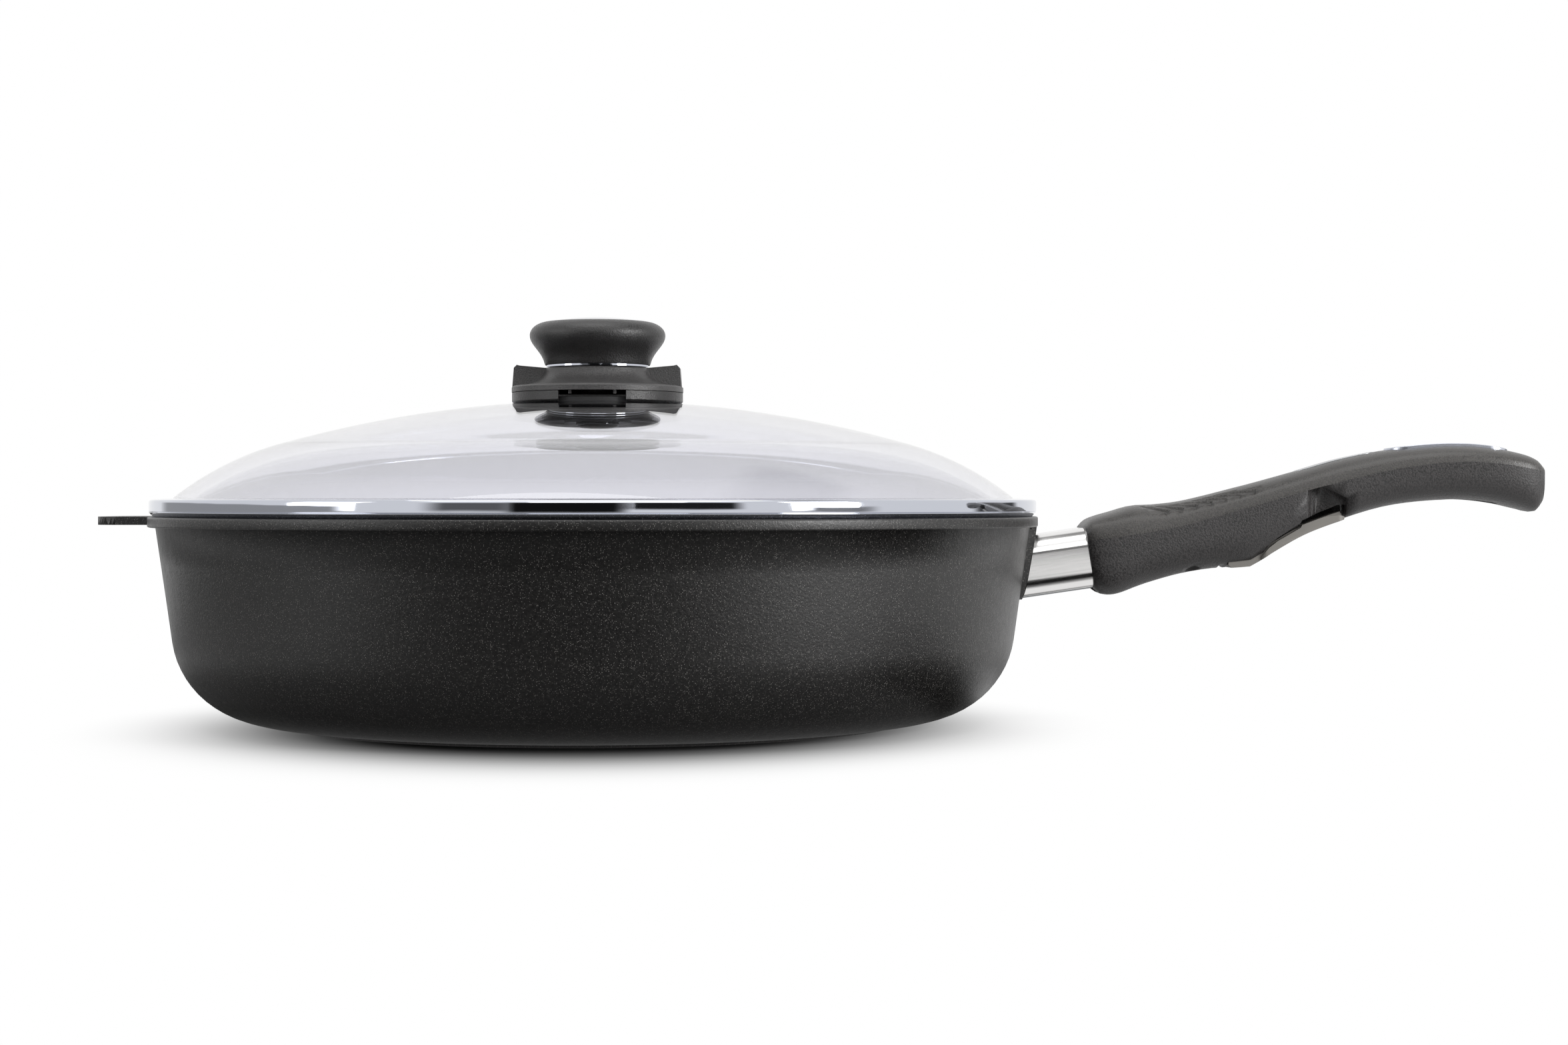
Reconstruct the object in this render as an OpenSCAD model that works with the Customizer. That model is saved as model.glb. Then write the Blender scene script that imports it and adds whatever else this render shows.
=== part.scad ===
// Deep cast frying pan with a pull-off handle, and a vented glass lid.
// The origin is the centre of the base face. +Z is up, and the handle points along +X.

/* [Pan] */
// Height of the pan from its base face to the top of its lip
pan_height = 68; // [60:0.5:76]
// Radius of the lip's outer edge
lip_radius = 147; // [145:0.5:155]
// Height of the lip
lip_height = 3.4; // [2.8:0.1:5]
// How far the lip stands out from the wall
lip_proud = 2.6; // [1.5:0.1:4]
// Round on the lip's edges
lip_round = 0.6; // [0.3:0.1:1]
// Angle of the wall from upright
wall_draft = 8.2; // [5:0.1:11]
// Thickness of the wall
wall = 4; // [3.4:0.1:4.6]
// Thickness of the base
base_thickness = 6.5; // [5:0.1:9]
// Outer radius between wall and base
corner_radius = 30.3; // [24:0.1:36]
// How far the raised foot stays inside the round corner
foot_inset = 4.2; // [2:0.1:12]
// Height of the raised foot
foot_height = 1.4; // [1:0.1:2]

/* [Base plate] */
// How far the steel plate stays inside the foot
plate_inset = 8; // [5:0.5:20]
// Thickness of the plate
plate_thickness = 0.8; // [0.5:0.1:1.2]
// Radius of the plate's centre hole
plate_hole_radius = 14; // [8:0.5:20]
// Radius of each hole that keys the plate
key_hole_radius = 2.4; // [1.5:0.1:3]
// Number of rings of key holes
key_rings = 4; // [2:1:5]

/* [Helper tab] */
// Reach of the tab from the lip
tab_reach = 16.7; // [12:0.1:22]
// Width of the tab
tab_width = 46; // [36:0.5:60]
// Thickness of the tab
tab_thickness = 2.7; // [2.2:0.1:3.2]
// Corner radius at the tab's outer end
tab_corner = 9; // [5:0.5:14]
// Radius of the hollow blend between tab and lip
tab_blend = 15; // [8:0.5:20]

/* [Handle boss] */
// How far the boss face stays inside the lip's edge, on the handle's axis
boss_inset = 3.5; // [2.7:0.1:4.3]
// Lean of the boss face from upright
boss_lean = 10.2; // [6:0.1:14]
// Height of the handle's axis at the boss face
axis_height = 51.5; // [49:0.1:53]
// Angle of the ferrule above level
axis_rise = 8.3; // [5:0.1:11]
// Margin of the boss face round the ferrule
boss_margin = 2.2; // [1.2:0.1:4]
// Corner radius of the boss
boss_corner = 8; // [5:0.5:10]
// Length of the cast stub outside the boss face
stub_length = 20; // [16:0.5:22]
// Depth of the latch notch under the stub
notch_depth = 2.2; // [1.9:0.1:3]

/* [Ferrule] */
// Width of the ferrule
ferrule_width = 27; // [25:0.5:29]
// Height of the ferrule
ferrule_height = 19.8; // [19:0.1:20.4]
// Outer corner radius of the ferrule
ferrule_corner = 6.5; // [5:0.1:8]
// Sheet thickness of the ferrule
ferrule_sheet = 1.2; // [0.8:0.1:1.4]
// Length of the ferrule behind the boss face
ferrule_length = 35.3; // [33:0.1:36]
// Clearance between stub and ferrule
stub_clearance = 0.25; // [0.15:0.05:0.35]
// Gap between ferrule and boss face
seat_gap = 0.3; // [0.2:0.05:0.5]

/* [Latch leaf] */
// Width of the spring leaf
leaf_width = 8; // [7:0.5:9]
// Thickness of the spring leaf
leaf_sheet = 0.6; // [0.4:0.1:0.8]
// Length of the rising tail of the leaf
leaf_tail = 21; // [19:0.5:22]
// Angle of the leaf's tail to its front
leaf_bend = 10; // [9:0.5:10.5]
// Length of the tooth along the handle
tooth_length = 4; // [3:0.5:5]
// Distance from boss face to tooth
tooth_place = 10; // [8:0.5:12]
// Play of the tooth along its notch
tooth_play = 0.4; // [0.3:0.05:0.6]

/* [Grip] */
// Length of the grip
grip_length = 151.2; // [146:0.1:158]
// Height from the grip's lowest to its highest point
grip_rise = 50; // [47:0.5:52]
// Greatest width of the grip
grip_width = 33; // [32:0.5:36]
// Distance from boss face to grip, on the axis
grip_start = 20.8; // [19.6:0.1:22]
// Lowest point of the grip below the handle's axis at the boss
grip_drop = 9.7; // [9:0.1:11]
// Backward lean of the grip's mouth
mouth_lean = 9; // [6:1:14]
// Squareness of the upper shell's section
upper_square = 2.5; // [2:0.1:3]
// Squareness of the lower shell's section
lower_square = 3.1; // [2.6:0.1:3.6]
// How much squarer the section gets towards the mouth
mouth_square = 1.4; // [0:0.1:2]
// Number of thumb grooves on each shoulder
groove_count = 7; // [5:1:8]
// Depth of the finger scoops beside the trigger
scoop_depth = 3; // [2:0.1:3.4]

/* [Hanging slot] */
// Length of the slot
slot_length = 19; // [14:0.5:24]
// Width of the slot
slot_width = 9; // [7:0.5:11]
// Distance from the tail to the slot's rear end
slot_inset = 13.5; // [12:0.5:16]
// Length of the steel inlay
inlay_length = 41; // [34:0.5:44]
// Width of the steel inlay
inlay_width = 15; // [13:0.5:17]
// Height of the inlay above the grip
inlay_proud = 0.5; // [0.3:0.1:0.8]
// Depth of the inlay in the grip
inlay_depth = 1.2; // [0.8:0.1:1.6]
// Length of the plain strip ahead of the inlay
strip_length = 26.5; // [20:0.5:28]
// Width of the plain strip
strip_width = 8; // [6:0.5:10]
// Space between strip and inlay
strip_space = 4; // [3:0.5:6]

/* [Trigger] */
// Width of the trigger
trigger_width = 18.4; // [17:0.1:19]
// Clearance beside the trigger
trigger_clearance = 0.35; // [0.3:0.05:0.5]
// Length of the trigger
trigger_length = 38.6; // [37:0.1:40]
// Distance from the grip's mouth to the trigger
trigger_place = 46; // [45:0.1:47.5]
// Width of the trigger's paddle, under the grip's skirts
paddle_width = 21.4; // [20:0.1:22]
// Radius of the trigger's hub
hub_radius = 4; // [3.4:0.1:4.4]
// Radius of the trigger pin
pin_radius = 1.5; // [1.2:0.1:1.8]
// Length of the trigger pin
pin_length = 23; // [21.5:0.5:24]
// Running clearance on the trigger pin
pin_clearance = 0.05; // [0.02:0.01:0.08]
// Width of the trigger's arm
arm_width = 6; // [5:0.5:6.5]
// Thickness of the trigger's arm
arm_thickness = 3; // [2.4:0.1:3.4]
// Angle that the trigger is squeezed
squeeze_angle = 3; // [2:0.5:3]

/* [Lid] */
// Height of the glass above the lip, at its top
dome_height = 38.6; // [34:0.1:44]
// Slope of the glass where its shoulder starts
shoulder_slope = 16; // [14:0.5:18]
// Slope of the glass at the steel rim
rim_slope = 39.8; // [37:0.1:43]
// Height of the rim's top above the lip
rim_height = 6; // [5:0.1:7]
// Thickness of the glass
glass_thickness = 4; // [3.6:0.1:4.2]
// Sheet thickness of the steel rim
rim_sheet = 0.6; // [0.4:0.1:0.8]
// How far the rim's edge stays inside the lip's edge
rim_inset = 0.5; // [0.3:0.1:1]
// Width of the rim's top
rim_width = 6.8; // [6:0.1:7.4]
// Depth of the skirt in the pan
skirt_depth = 6; // [4:0.5:9]
// Clearance between skirt and pan
skirt_clearance = 0.7; // [0.5:0.1:1.2]
// How far the glass reaches into the rim
glass_bite = 3.3; // [2.6:0.1:4]

/* [Knob] */
// Radius of the knob grip
knob_radius = 22.7; // [20:0.1:25]
// Radius of the knob grip's neck
neck_radius = 17.6; // [16.5:0.1:19]
// Height of the neck above the glass
neck_height = 11.9; // [11.5:0.1:13]
// Height of the knob grip
knob_height = 14.6; // [13:0.1:18]
// Height of the knob grip's round upper edge
knob_edge = 4.5; // [3.5:0.1:6]
// Radius of the steel disc on the knob
disc_radius = 15.9; // [14:0.1:17]
// Rise of the steel disc
disc_rise = 1.6; // [1.2:0.1:2.4]
// Depth of the disc's edge in the knob
disc_seat = 1; // [0.6:0.1:1.4]
// Radius of the knob base
base_ring_radius = 28.6; // [27:0.1:31]
// Wall of the knob base
base_ring_wall = 2.2; // [1.8:0.1:2.6]
// Width of the vent window
window_width = 22; // [16:0.5:26]
// Radius of the hub that the vent collar turns on
collar_hub_radius = 9; // [8:0.1:9.5]
// Running clearance of the vent collar
collar_clearance = 0.05; // [0.03:0.01:0.1]
// Thickness of the vent collar's wings
wing_width = 9; // [7:0.5:11]
// Height of the wings above the collar's hub
wing_rise = 1; // [0.6:0.1:2]
// Radius of the screw in the knob
screw_radius = 2.1; // [1.8:0.1:2.4]
// Radius of the disc under the glass
under_disc_radius = 20.9; // [19:0.1:23]

/* [Hidden] */

$fn = 96;
overrun = 1;
reach = 2 * grip_length;

// Pan profile
lip_low = pan_height - lip_height;
inner_corner = corner_radius - wall;
foot_chamfer = foot_height / 2;
mouth_round = 1;
arc_steps = 14;

function wall_out(z) = lip_radius - lip_proud - (lip_low - z) * tan(wall_draft);
function wall_in(z) = wall_out(z) - wall / cos(wall_draft);

corner_z = foot_height + corner_radius;
corner_x = wall_out(corner_z) - corner_radius / cos(wall_draft);
inner_z = base_thickness + inner_corner;
inner_x = wall_in(inner_z) - inner_corner / cos(wall_draft);

// Base plate
foot_radius = corner_x - foot_inset;
plate_radius = foot_radius - plate_inset;
key_pitch_share = 0.245;
key_pitch = key_pitch_share * (plate_radius - plate_hole_radius);
key_holes_per_ring = 10;

// Boss, stub and ferrule
boss_reach = lip_radius - boss_inset;
boss_trim = 0.9;
boss_low = axis_height - ferrule_height / 2 - boss_margin + boss_trim;
boss_chamfer = 1.1;
boss_root = wall_out(boss_low) - wall / 2;
boss_width = ferrule_width + 2 * boss_margin;
stub_width = ferrule_width - 2 * (ferrule_sheet + stub_clearance);
stub_height = ferrule_height - 2 * (ferrule_sheet + stub_clearance);
stub_corner = ferrule_corner - ferrule_sheet - stub_clearance;
stub_chamfer = 1.5;
stub_root = 6;

// Latch leaf, in the handle's own axes
leaf_level = -ferrule_height / 2;
leaf_gap = 0.7;
leaf_start = leaf_level * tan(axis_rise + boss_lean) + leaf_gap;
tooth_width = leaf_width - 2 * ferrule_sheet;
tooth_rise = ferrule_sheet + stub_clearance + notch_depth - tooth_play;
slot_side = 0.4;
leaf_rivet_radius = 1.4;
leaf_rivet_head = 2.4;
leaf_rivet_height = 0.6;
leaf_rivet_length = 2.4;
leaf_rivet_inset = 4;

// Trigger, in the pan's axes
trigger_front = boss_reach + grip_start * cos(axis_rise) + trigger_place;
trigger_back = trigger_front + trigger_length;
pivot_inset = 2.8;
pivot_drop = 12.6;
nose_space = 1.4;
nose_place = stub_length + nose_space;
nose_length = 3.2;
nose_gap = 0.15;
arm_level = -3;
well_gap = 0.4;
room_overrun = 5;
foot_show = 1;

// Bracket between ferrule and grip
bracket_space = 2.4;
bracket_start = stub_length + bracket_space;
bracket_length = 61.6;
bracket_width = 12.6;
bracket_thickness = 2.4;
bracket_top = ferrule_height / 2 - ferrule_sheet;
rivet_radius = 1.3;
rivet_head = 2.3;
rivet_head_height = 0.8;
rivet_edge = 0.5;
rivet_places = [bracket_start + rivet_head + rivet_edge, ferrule_length - rivet_head - rivet_edge];

// Lid
apex = pan_height + dome_height;
rim_radius = lip_radius - rim_inset;
rim_inner = rim_radius - rim_width;
glass_radius = rim_inner + glass_bite;
rim_top = pan_height + rim_height;
glass_fall = apex - rim_top + rim_sheet;
slope_share = sin(shoulder_slope) * (cos(shoulder_slope) - cos(rim_slope))
    - (sin(rim_slope) - sin(shoulder_slope)) * (1 - cos(shoulder_slope));
dome_radius = (rim_inner * (cos(shoulder_slope) - cos(rim_slope))
    - glass_fall * (sin(rim_slope) - sin(shoulder_slope))) / slope_share;
shoulder_radius = (glass_fall * sin(shoulder_slope) - rim_inner * (1 - cos(shoulder_slope))) / slope_share;
shoulder_start = dome_radius * sin(shoulder_slope);
dome_z = apex - dome_radius;
shoulder_z = dome_z + (dome_radius - shoulder_radius) * cos(shoulder_slope);
shoulder_x = (dome_radius - shoulder_radius) * sin(shoulder_slope);
screw_hole = 5;
dome_steps = 12;
shoulder_steps = 10;

function dome_top(r) = r <= shoulder_start
    ? dome_z + sqrt(pow(dome_radius, 2) - r * r)
    : shoulder_z + sqrt(pow(shoulder_radius, 2) - pow(r - shoulder_x, 2));
function under_angle_at(z) = acos((z - shoulder_z) / (shoulder_radius - glass_thickness));
function dome_place(i) = screw_hole + (shoulder_start - screw_hole) * i / dome_steps;
function under_z(r) = dome_z + sqrt(pow(dome_radius - glass_thickness, 2) - r * r);

seat_z = pan_height + rim_sheet;
skirt_radius = wall_in(pan_height - skirt_depth) - skirt_clearance;
rim_fall = 0.5;
rim_corner = 0.8;
curl = 1.4;

// Knob, counted from the top of the glass
gasket_thickness = 0.6;
gasket_top = apex + gasket_thickness;
gasket_inset = 0.5;
gasket_radius = base_ring_radius - base_ring_wall - gasket_inset;
floor_thickness = 0.8;
floor_top = gasket_top + floor_thickness;
ring_rise = 2.7;
ring_top = apex + ring_rise;
ring_drop = 0.8;
ring_low = apex - ring_drop;
collar_gap = 0.1;
collar_low = ring_top + collar_gap;
collar_band = 1.6;
collar_proud = 0.1;
hub_top_radius = neck_radius + collar_proud;
collar_edge = base_ring_radius + collar_proud;
collar_lip = 0.5;
neck_z = apex + neck_height;
neck_ring_height = 0.6;
neck_ring_inset = 0.5;
neck_ring_radius = neck_radius - neck_ring_inset;
collar_head_gap = 0.3;
collar_top = neck_z - neck_ring_height - collar_head_gap;
knob_top = neck_z + knob_height;
neck_flare = 1;
neck_curve_share = 0.34;
edge_curve_share = 0.24;
insert_radius = 3.6;
insert_length = 8;
insert_rise = 0.6;
insert_end = 1;
shutter_gap = 0.2;
shutter_wall = 1.6;
shutter_post = 1;
under_seal_radius = 11;
under_z0 = under_z(0);
seal_thickness = 0.6;
under_disc_sheet = 0.8;
under_disc_drop = 1.4;
under_cone = 3.2;
washer_radius = 11.3;
washer_thickness = 1;
head_radius = 7.2;
head_height = 2.1;
head_edge_share = 0.4;
vent_place = 14.5;
vent_radius = 2;

// Grip stations: along, top, bottom and seam as shares of length and rise, and half width as a share
station_shares = [
    [0.000, 0.462, 0.050, 0.362, 0.900],
    [0.012, 0.500, 0.015, 0.370, 0.965],
    [0.032, 0.528, 0.000, 0.378, 0.995],
    [0.060, 0.556, 0.010, 0.390, 1.000],
    [0.100, 0.596, 0.050, 0.408, 0.982],
    [0.140, 0.603, 0.089, 0.428, 0.952],
    [0.200, 0.624, 0.139, 0.464, 0.910],
    [0.270, 0.672, 0.174, 0.522, 0.873],
    [0.330, 0.719, 0.186, 0.572, 0.850],
    [0.355, 0.738, 0.196, 0.592, 0.845],
    [0.400, 0.775, 0.285, 0.632, 0.842],
    [0.470, 0.834, 0.404, 0.694, 0.836],
    [0.550, 0.903, 0.496, 0.756, 0.842],
    [0.650, 0.963, 0.587, 0.828, 0.867],
    [0.750, 0.997, 0.628, 0.874, 0.909],
    [0.830, 1.000, 0.634, 0.885, 0.933],
    [0.900, 0.978, 0.610, 0.870, 0.921],
    [0.955, 0.944, 0.572, 0.844, 0.840],
    [0.985, 0.908, 0.556, 0.828, 0.700],
    [1.000, 0.862, 0.606, 0.816, 0.520]];
grip_rings = 54;
grip_points = 16;
grip_x = boss_reach + grip_start * cos(axis_rise);
grip_low = axis_height - grip_drop;
lean_share = 0.12;

function grip_slope(c, i) = let(a = max(i - 1, 0), b = min(i + 1, len(station_shares) - 1))
    (station_shares[b][c] - station_shares[a][c]) / (station_shares[b][0] - station_shares[a][0]);
function station(s, i = 0) = s <= station_shares[i + 1][0] || i == len(station_shares) - 2
    ? i : station(s, i + 1);
function grip_value(c, s) = let(i = station(s),
    a = station_shares[i], b = station_shares[i + 1],
    h = b[0] - a[0], t = (s - a[0]) / h)
    a[c] * (1 + 2 * t) * pow(1 - t, 2) + b[c] * t * t * (3 - 2 * t)
    + h * t * (1 - t) * (grip_slope(c, i) * (1 - t) - grip_slope(c, i + 1) * t);
function share_of(x) = (x - grip_x) / grip_length;
function top_at(x) = grip_low + grip_rise * grip_value(1, share_of(x));
function bottom_at(x) = grip_low + grip_rise * grip_value(2, share_of(x));
function seam_at(x) = grip_low + grip_rise * grip_value(3, share_of(x));
function lean_at(s) = tan(mouth_lean) * max(0, 1 - s / lean_share);
ring_crowding = 0.62;
function ring_share(i) = i / grip_rings - ring_crowding * sin(360 * i / grip_rings) / (2 * PI);
function signed_power(v, p) = sign(v) * pow(abs(v), p);

// One ring of a grip shell: its rounded side from one seam edge to the other
function shell_ring(s, upper) = let(
    seam = grip_low + grip_rise * grip_value(3, s),
    far = grip_low + grip_rise * grip_value(upper ? 1 : 2, s),
    half = grip_width / 2 * grip_value(4, s),
    power = 2 / ((upper ? upper_square : lower_square) + mouth_square * max(0, 1 - s / lean_share)))
    [for (j = [0:grip_points]) let(
        a = 180 * j / grip_points,
        z = seam + (far - seam) * signed_power(sin(a), power))
        [grip_x + grip_length * s - lean_at(s) * (z - axis_height),
         -half * signed_power(cos(a), power), z]];

module loft(rings) {
    n = len(rings[0]);
    m = len(rings);
    points = [for (r = rings) each r];
    sides = [for (i = [0:m - 2]) for (j = [0:n - 1]) let(
        a = i * n + j, b = i * n + (j + 1) % n, c = a + n, d = b + n)
        each [[a, c, b], [b, c, d]]];
    polyhedron(points, concat(sides, [[for (j = [0:n - 1]) j]],
        [[for (j = [n - 1:-1:0]) (m - 1) * n + j]]));
}

module shell_solid(upper) {
    rings = [for (i = [0:grip_rings]) shell_ring(ring_share(i), upper)];
    loft(upper ? [for (r = rings) [for (j = [grip_points:-1:0]) r[j]]] : rings);
}

// Outline helpers
function arc(cx, cy, r, from, to, steps) =
    [for (i = [0:steps]) let(a = from + (to - from) * i / steps) [cx + r * cos(a), cy + r * sin(a)]];
function bezier(p, steps) = [for (i = [0:steps]) let(t = i / steps)
    p[0] * pow(1 - t, 3) + p[1] * 3 * t * pow(1 - t, 2) + p[2] * 3 * t * t * (1 - t) + p[3] * pow(t, 3)];

module rounded_rect(width, height, r) {
    square([width - 2 * r, height], center = true);
    square([width, height - 2 * r], center = true);
    for (x = [-1, 1], y = [-1, 1])
        translate([x * (width / 2 - r), y * (height / 2 - r)]) circle(r);
}

module stadium(length, width) {
    square([length - width, width], center = true);
    for (x = [-1, 1])
        translate([x * (length - width) / 2, 0]) circle(width / 2);
}

// A side outline in X and Z, made as wide as asked across Y
module across(width) {
    translate([0, width / 2, 0]) rotate([90, 0, 0]) linear_extrude(width) children();
}

// A section in Y and Z, run along X
module along(from, to) {
    translate([from, 0, 0]) rotate([90, 0, 90]) linear_extrude(to - from) children();
}

// The handle's own axes: X along the ferrule, from the middle of the boss face
module handle_axes() {
    translate([boss_reach, 0, axis_height]) rotate([0, -axis_rise, 0]) children();
}

// Everything outward of the boss face
module beyond_boss(gap) {
    translate([boss_reach + gap, 0, axis_height]) rotate([0, boss_lean, 0])
        translate([0, -reach / 2, -reach / 2]) cube(reach);
}

module ferrule_bar(from, to, inset) {
    along(from, to) rounded_rect(ferrule_width - 2 * inset, ferrule_height - 2 * inset,
        ferrule_corner - inset);
}

// Pan
module pan_outer() {
    rotate_extrude() polygon(concat(
        [[0, 0], [foot_radius - foot_chamfer, 0], [foot_radius, foot_chamfer], [foot_radius, foot_height]],
        arc(corner_x, corner_z, corner_radius, -90, -wall_draft, arc_steps),
        [[wall_out(lip_low), lip_low]],
        [[lip_radius - lip_round, lip_low]],
        arc(lip_radius - lip_round, lip_low + lip_round, lip_round, -60, 0, 2),
        arc(lip_radius - lip_round, pan_height - lip_round, lip_round, 0, 90, 4),
        [[0, pan_height]]));
}

module pan_inner() {
    rotate_extrude() polygon(concat(
        [[0, base_thickness]],
        arc(inner_x, inner_z, inner_corner, -90, -wall_draft, arc_steps),
        [[wall_in(pan_height - mouth_round), pan_height - mouth_round],
         [wall_in(pan_height) + mouth_round / 2, pan_height],
         [wall_in(pan_height) + mouth_round, pan_height + overrun], [0, pan_height + overrun]]));
}

module boss() {
    intersection() {
        across(boss_width) polygon([
            [boss_root, boss_low], [wall_out(boss_low) + boss_chamfer / 2, boss_low],
            [boss_reach + (boss_low + boss_chamfer - axis_height) * tan(boss_lean), boss_low + boss_chamfer],
            [boss_reach + (pan_height - axis_height) * tan(boss_lean), pan_height - lip_round],
            [boss_root, pan_height - lip_round]]);
        translate([0, 0, (boss_low + pan_height) / 2]) along(0, reach)
            rounded_rect(boss_width, pan_height - boss_low, boss_corner);
    }
}

module stub() {
    handle_axes() difference() {
        intersection() {
            along(-stub_root, stub_length) rounded_rect(stub_width, stub_height, stub_corner);
            across(stub_width) polygon([
                [-stub_root, -stub_height / 2], [stub_length - stub_chamfer, -stub_height / 2],
                [stub_length, stub_chamfer - stub_height / 2], [stub_length, stub_height / 2 - stub_chamfer],
                [stub_length - stub_chamfer, stub_height / 2], [-stub_root, stub_height / 2]]);
        }
        translate([tooth_place - tooth_play, -leaf_width / 2, -stub_height / 2 - overrun])
            cube([tooth_length + 2 * tooth_play, leaf_width, notch_depth + overrun]);
    }
}

module tab() {
    root = sqrt(pow(lip_radius, 2) - pow(tab_width / 2 + tab_blend, 2)) - lip_proud;
    end = lip_radius + tab_reach;
    mirror([1, 0, 0]) translate([0, 0, pan_height - tab_thickness]) linear_extrude(tab_thickness)
        difference() {
            union() {
                translate([root, -tab_width / 2]) square([end - tab_corner - root, tab_width]);
                translate([root, tab_corner - tab_width / 2])
                    square([end - root, tab_width - 2 * tab_corner]);
                for (y = [-1, 1])
                    translate([end - tab_corner, y * (tab_width / 2 - tab_corner)]) circle(tab_corner);
                translate([root, -tab_width / 2 - tab_blend])
                    square([lip_radius - root, tab_width + 2 * tab_blend]);
            }
            for (y = [-1, 1])
                translate([lip_radius, y * (tab_width / 2 + tab_blend)]) circle(tab_blend);
        }
}

module pan_body() {
    color("#3b3938") difference() {
        union() {
            pan_outer();
            boss();
            stub();
            tab();
        }
        pan_inner();
        difference() {
            translate([0, 0, -overrun]) cylinder(h = plate_thickness + overrun, r = plate_radius);
            cylinder(h = plate_thickness, r = plate_hole_radius);
        }
    }
}

module base_plate() {
    color("#8d8f91") difference() {
        cylinder(h = plate_thickness, r = plate_radius);
        translate([0, 0, -overrun]) cylinder(h = plate_thickness + 2 * overrun, r = plate_hole_radius);
        for (k = [1:key_rings], i = [0:key_holes_per_ring * k - 1])
            rotate([0, 0, 360 * i / (key_holes_per_ring * k)])
                translate([plate_hole_radius + key_pitch * k - key_hole_radius, 0, -overrun])
                    cylinder(h = plate_thickness + 2 * overrun, r = key_hole_radius, $fn = 24);
    }
}

// Lid
module glass_profile() {
    under_angle = under_angle_at(seat_z);
    edge_angle = 90 - asin((glass_radius - shoulder_x) / shoulder_radius);
    polygon(concat(
        [for (i = [0:dome_steps]) [dome_place(i), dome_top(dome_place(i))]],
        arc(shoulder_x, shoulder_z, shoulder_radius, 90 - shoulder_slope, edge_angle, shoulder_steps),
        [[glass_radius, seat_z]],
        arc(shoulder_x, shoulder_z, shoulder_radius - glass_thickness,
            90 - under_angle, 90 - shoulder_slope, shoulder_steps),
        [for (i = [dome_steps:-1:0])
            let(r = dome_place(i) * (dome_radius - glass_thickness) / dome_radius)
            [max(r, screw_hole), under_z(max(r, screw_hole))]]));
}

module rim_hollow() {
    polygon([
        [skirt_radius, seat_z], [rim_radius - curl, seat_z],
        [rim_radius - rim_sheet, seat_z + curl - rim_sheet],
        [rim_radius - rim_sheet, rim_top - rim_fall - rim_corner],
        [rim_radius - rim_corner, rim_top - rim_fall - rim_sheet], [rim_inner, rim_top - rim_sheet]]);
}

module lid_glass() {
    color("#c9ced4", 0.4) difference() {
        rotate_extrude() glass_profile();
        translate([0, -vent_place, under_z0 - overrun])
            cylinder(h = glass_thickness + 2 * overrun, r = vent_radius, $fn = 32);
    }
}

module lid_rim() {
    inner = skirt_radius - rim_sheet;
    color("#c4c7ca") rotate_extrude() difference() {
        polygon([
            [inner, pan_height - skirt_depth], [skirt_radius, pan_height - skirt_depth],
            [skirt_radius, pan_height], [rim_radius - curl, pan_height],
            [rim_radius - rim_sheet, pan_height + rim_sheet],
            [rim_radius, pan_height + curl], [rim_radius, rim_top - rim_fall - rim_corner],
            [rim_radius - rim_corner / 3, rim_top - rim_fall - rim_corner / 3],
            [rim_radius - rim_corner, rim_top - rim_fall], [rim_inner, rim_top],
            [rim_inner, rim_top - rim_sheet], [inner, seat_z]]);
        polygon([
            [inner, seat_z], [skirt_radius, seat_z], [rim_inner, rim_top - rim_sheet],
            [inner - overrun, rim_top - rim_sheet]]);
        rim_hollow();
    }
}

module rim_seal() {
    color("#2b2b2c") rotate_extrude() difference() {
        intersection() {
            rim_hollow();
            translate([rim_inner + rim_sheet, 0]) square([rim_width, apex]);
        }
        glass_profile();
    }
}

// Knob
module knob_gasket() {
    edge_z = dome_top(gasket_radius);
    color("#303031") difference() {
        rotate_extrude() difference() {
            translate([screw_hole, edge_z]) square([gasket_radius - screw_hole, gasket_top - edge_z]);
            glass_profile();
        }
        translate([0, -vent_place, apex - glass_thickness])
            cylinder(h = 2 * glass_thickness, r = vent_radius, $fn = 32);
    }
}

module knob_base() {
    window_back = sqrt(pow(base_ring_radius - base_ring_wall, 2) - pow(window_width / 2, 2)) - collar_lip;
    color("#343231") difference() {
        rotate_extrude() polygon([
            [screw_radius, gasket_top], [base_ring_radius - base_ring_wall, gasket_top],
            [base_ring_radius - base_ring_wall, ring_low], [base_ring_radius - collar_lip, ring_low],
            [base_ring_radius, ring_low + collar_lip], [base_ring_radius, ring_top],
            [base_ring_radius - base_ring_wall, ring_top], [base_ring_radius - base_ring_wall, floor_top],
            [collar_hub_radius, floor_top], [collar_hub_radius, neck_z - neck_ring_height],
            [screw_radius, neck_z - neck_ring_height]]);
        translate([-window_width / 2, -2 * base_ring_radius, ring_low - overrun])
            cube([window_width, 2 * base_ring_radius - window_back, ring_top - ring_low + 2 * overrun]);
        translate([0, -vent_place, apex])
            cylinder(h = 2 * glass_thickness, r = vent_radius, $fn = 32);
    }
}

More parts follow.
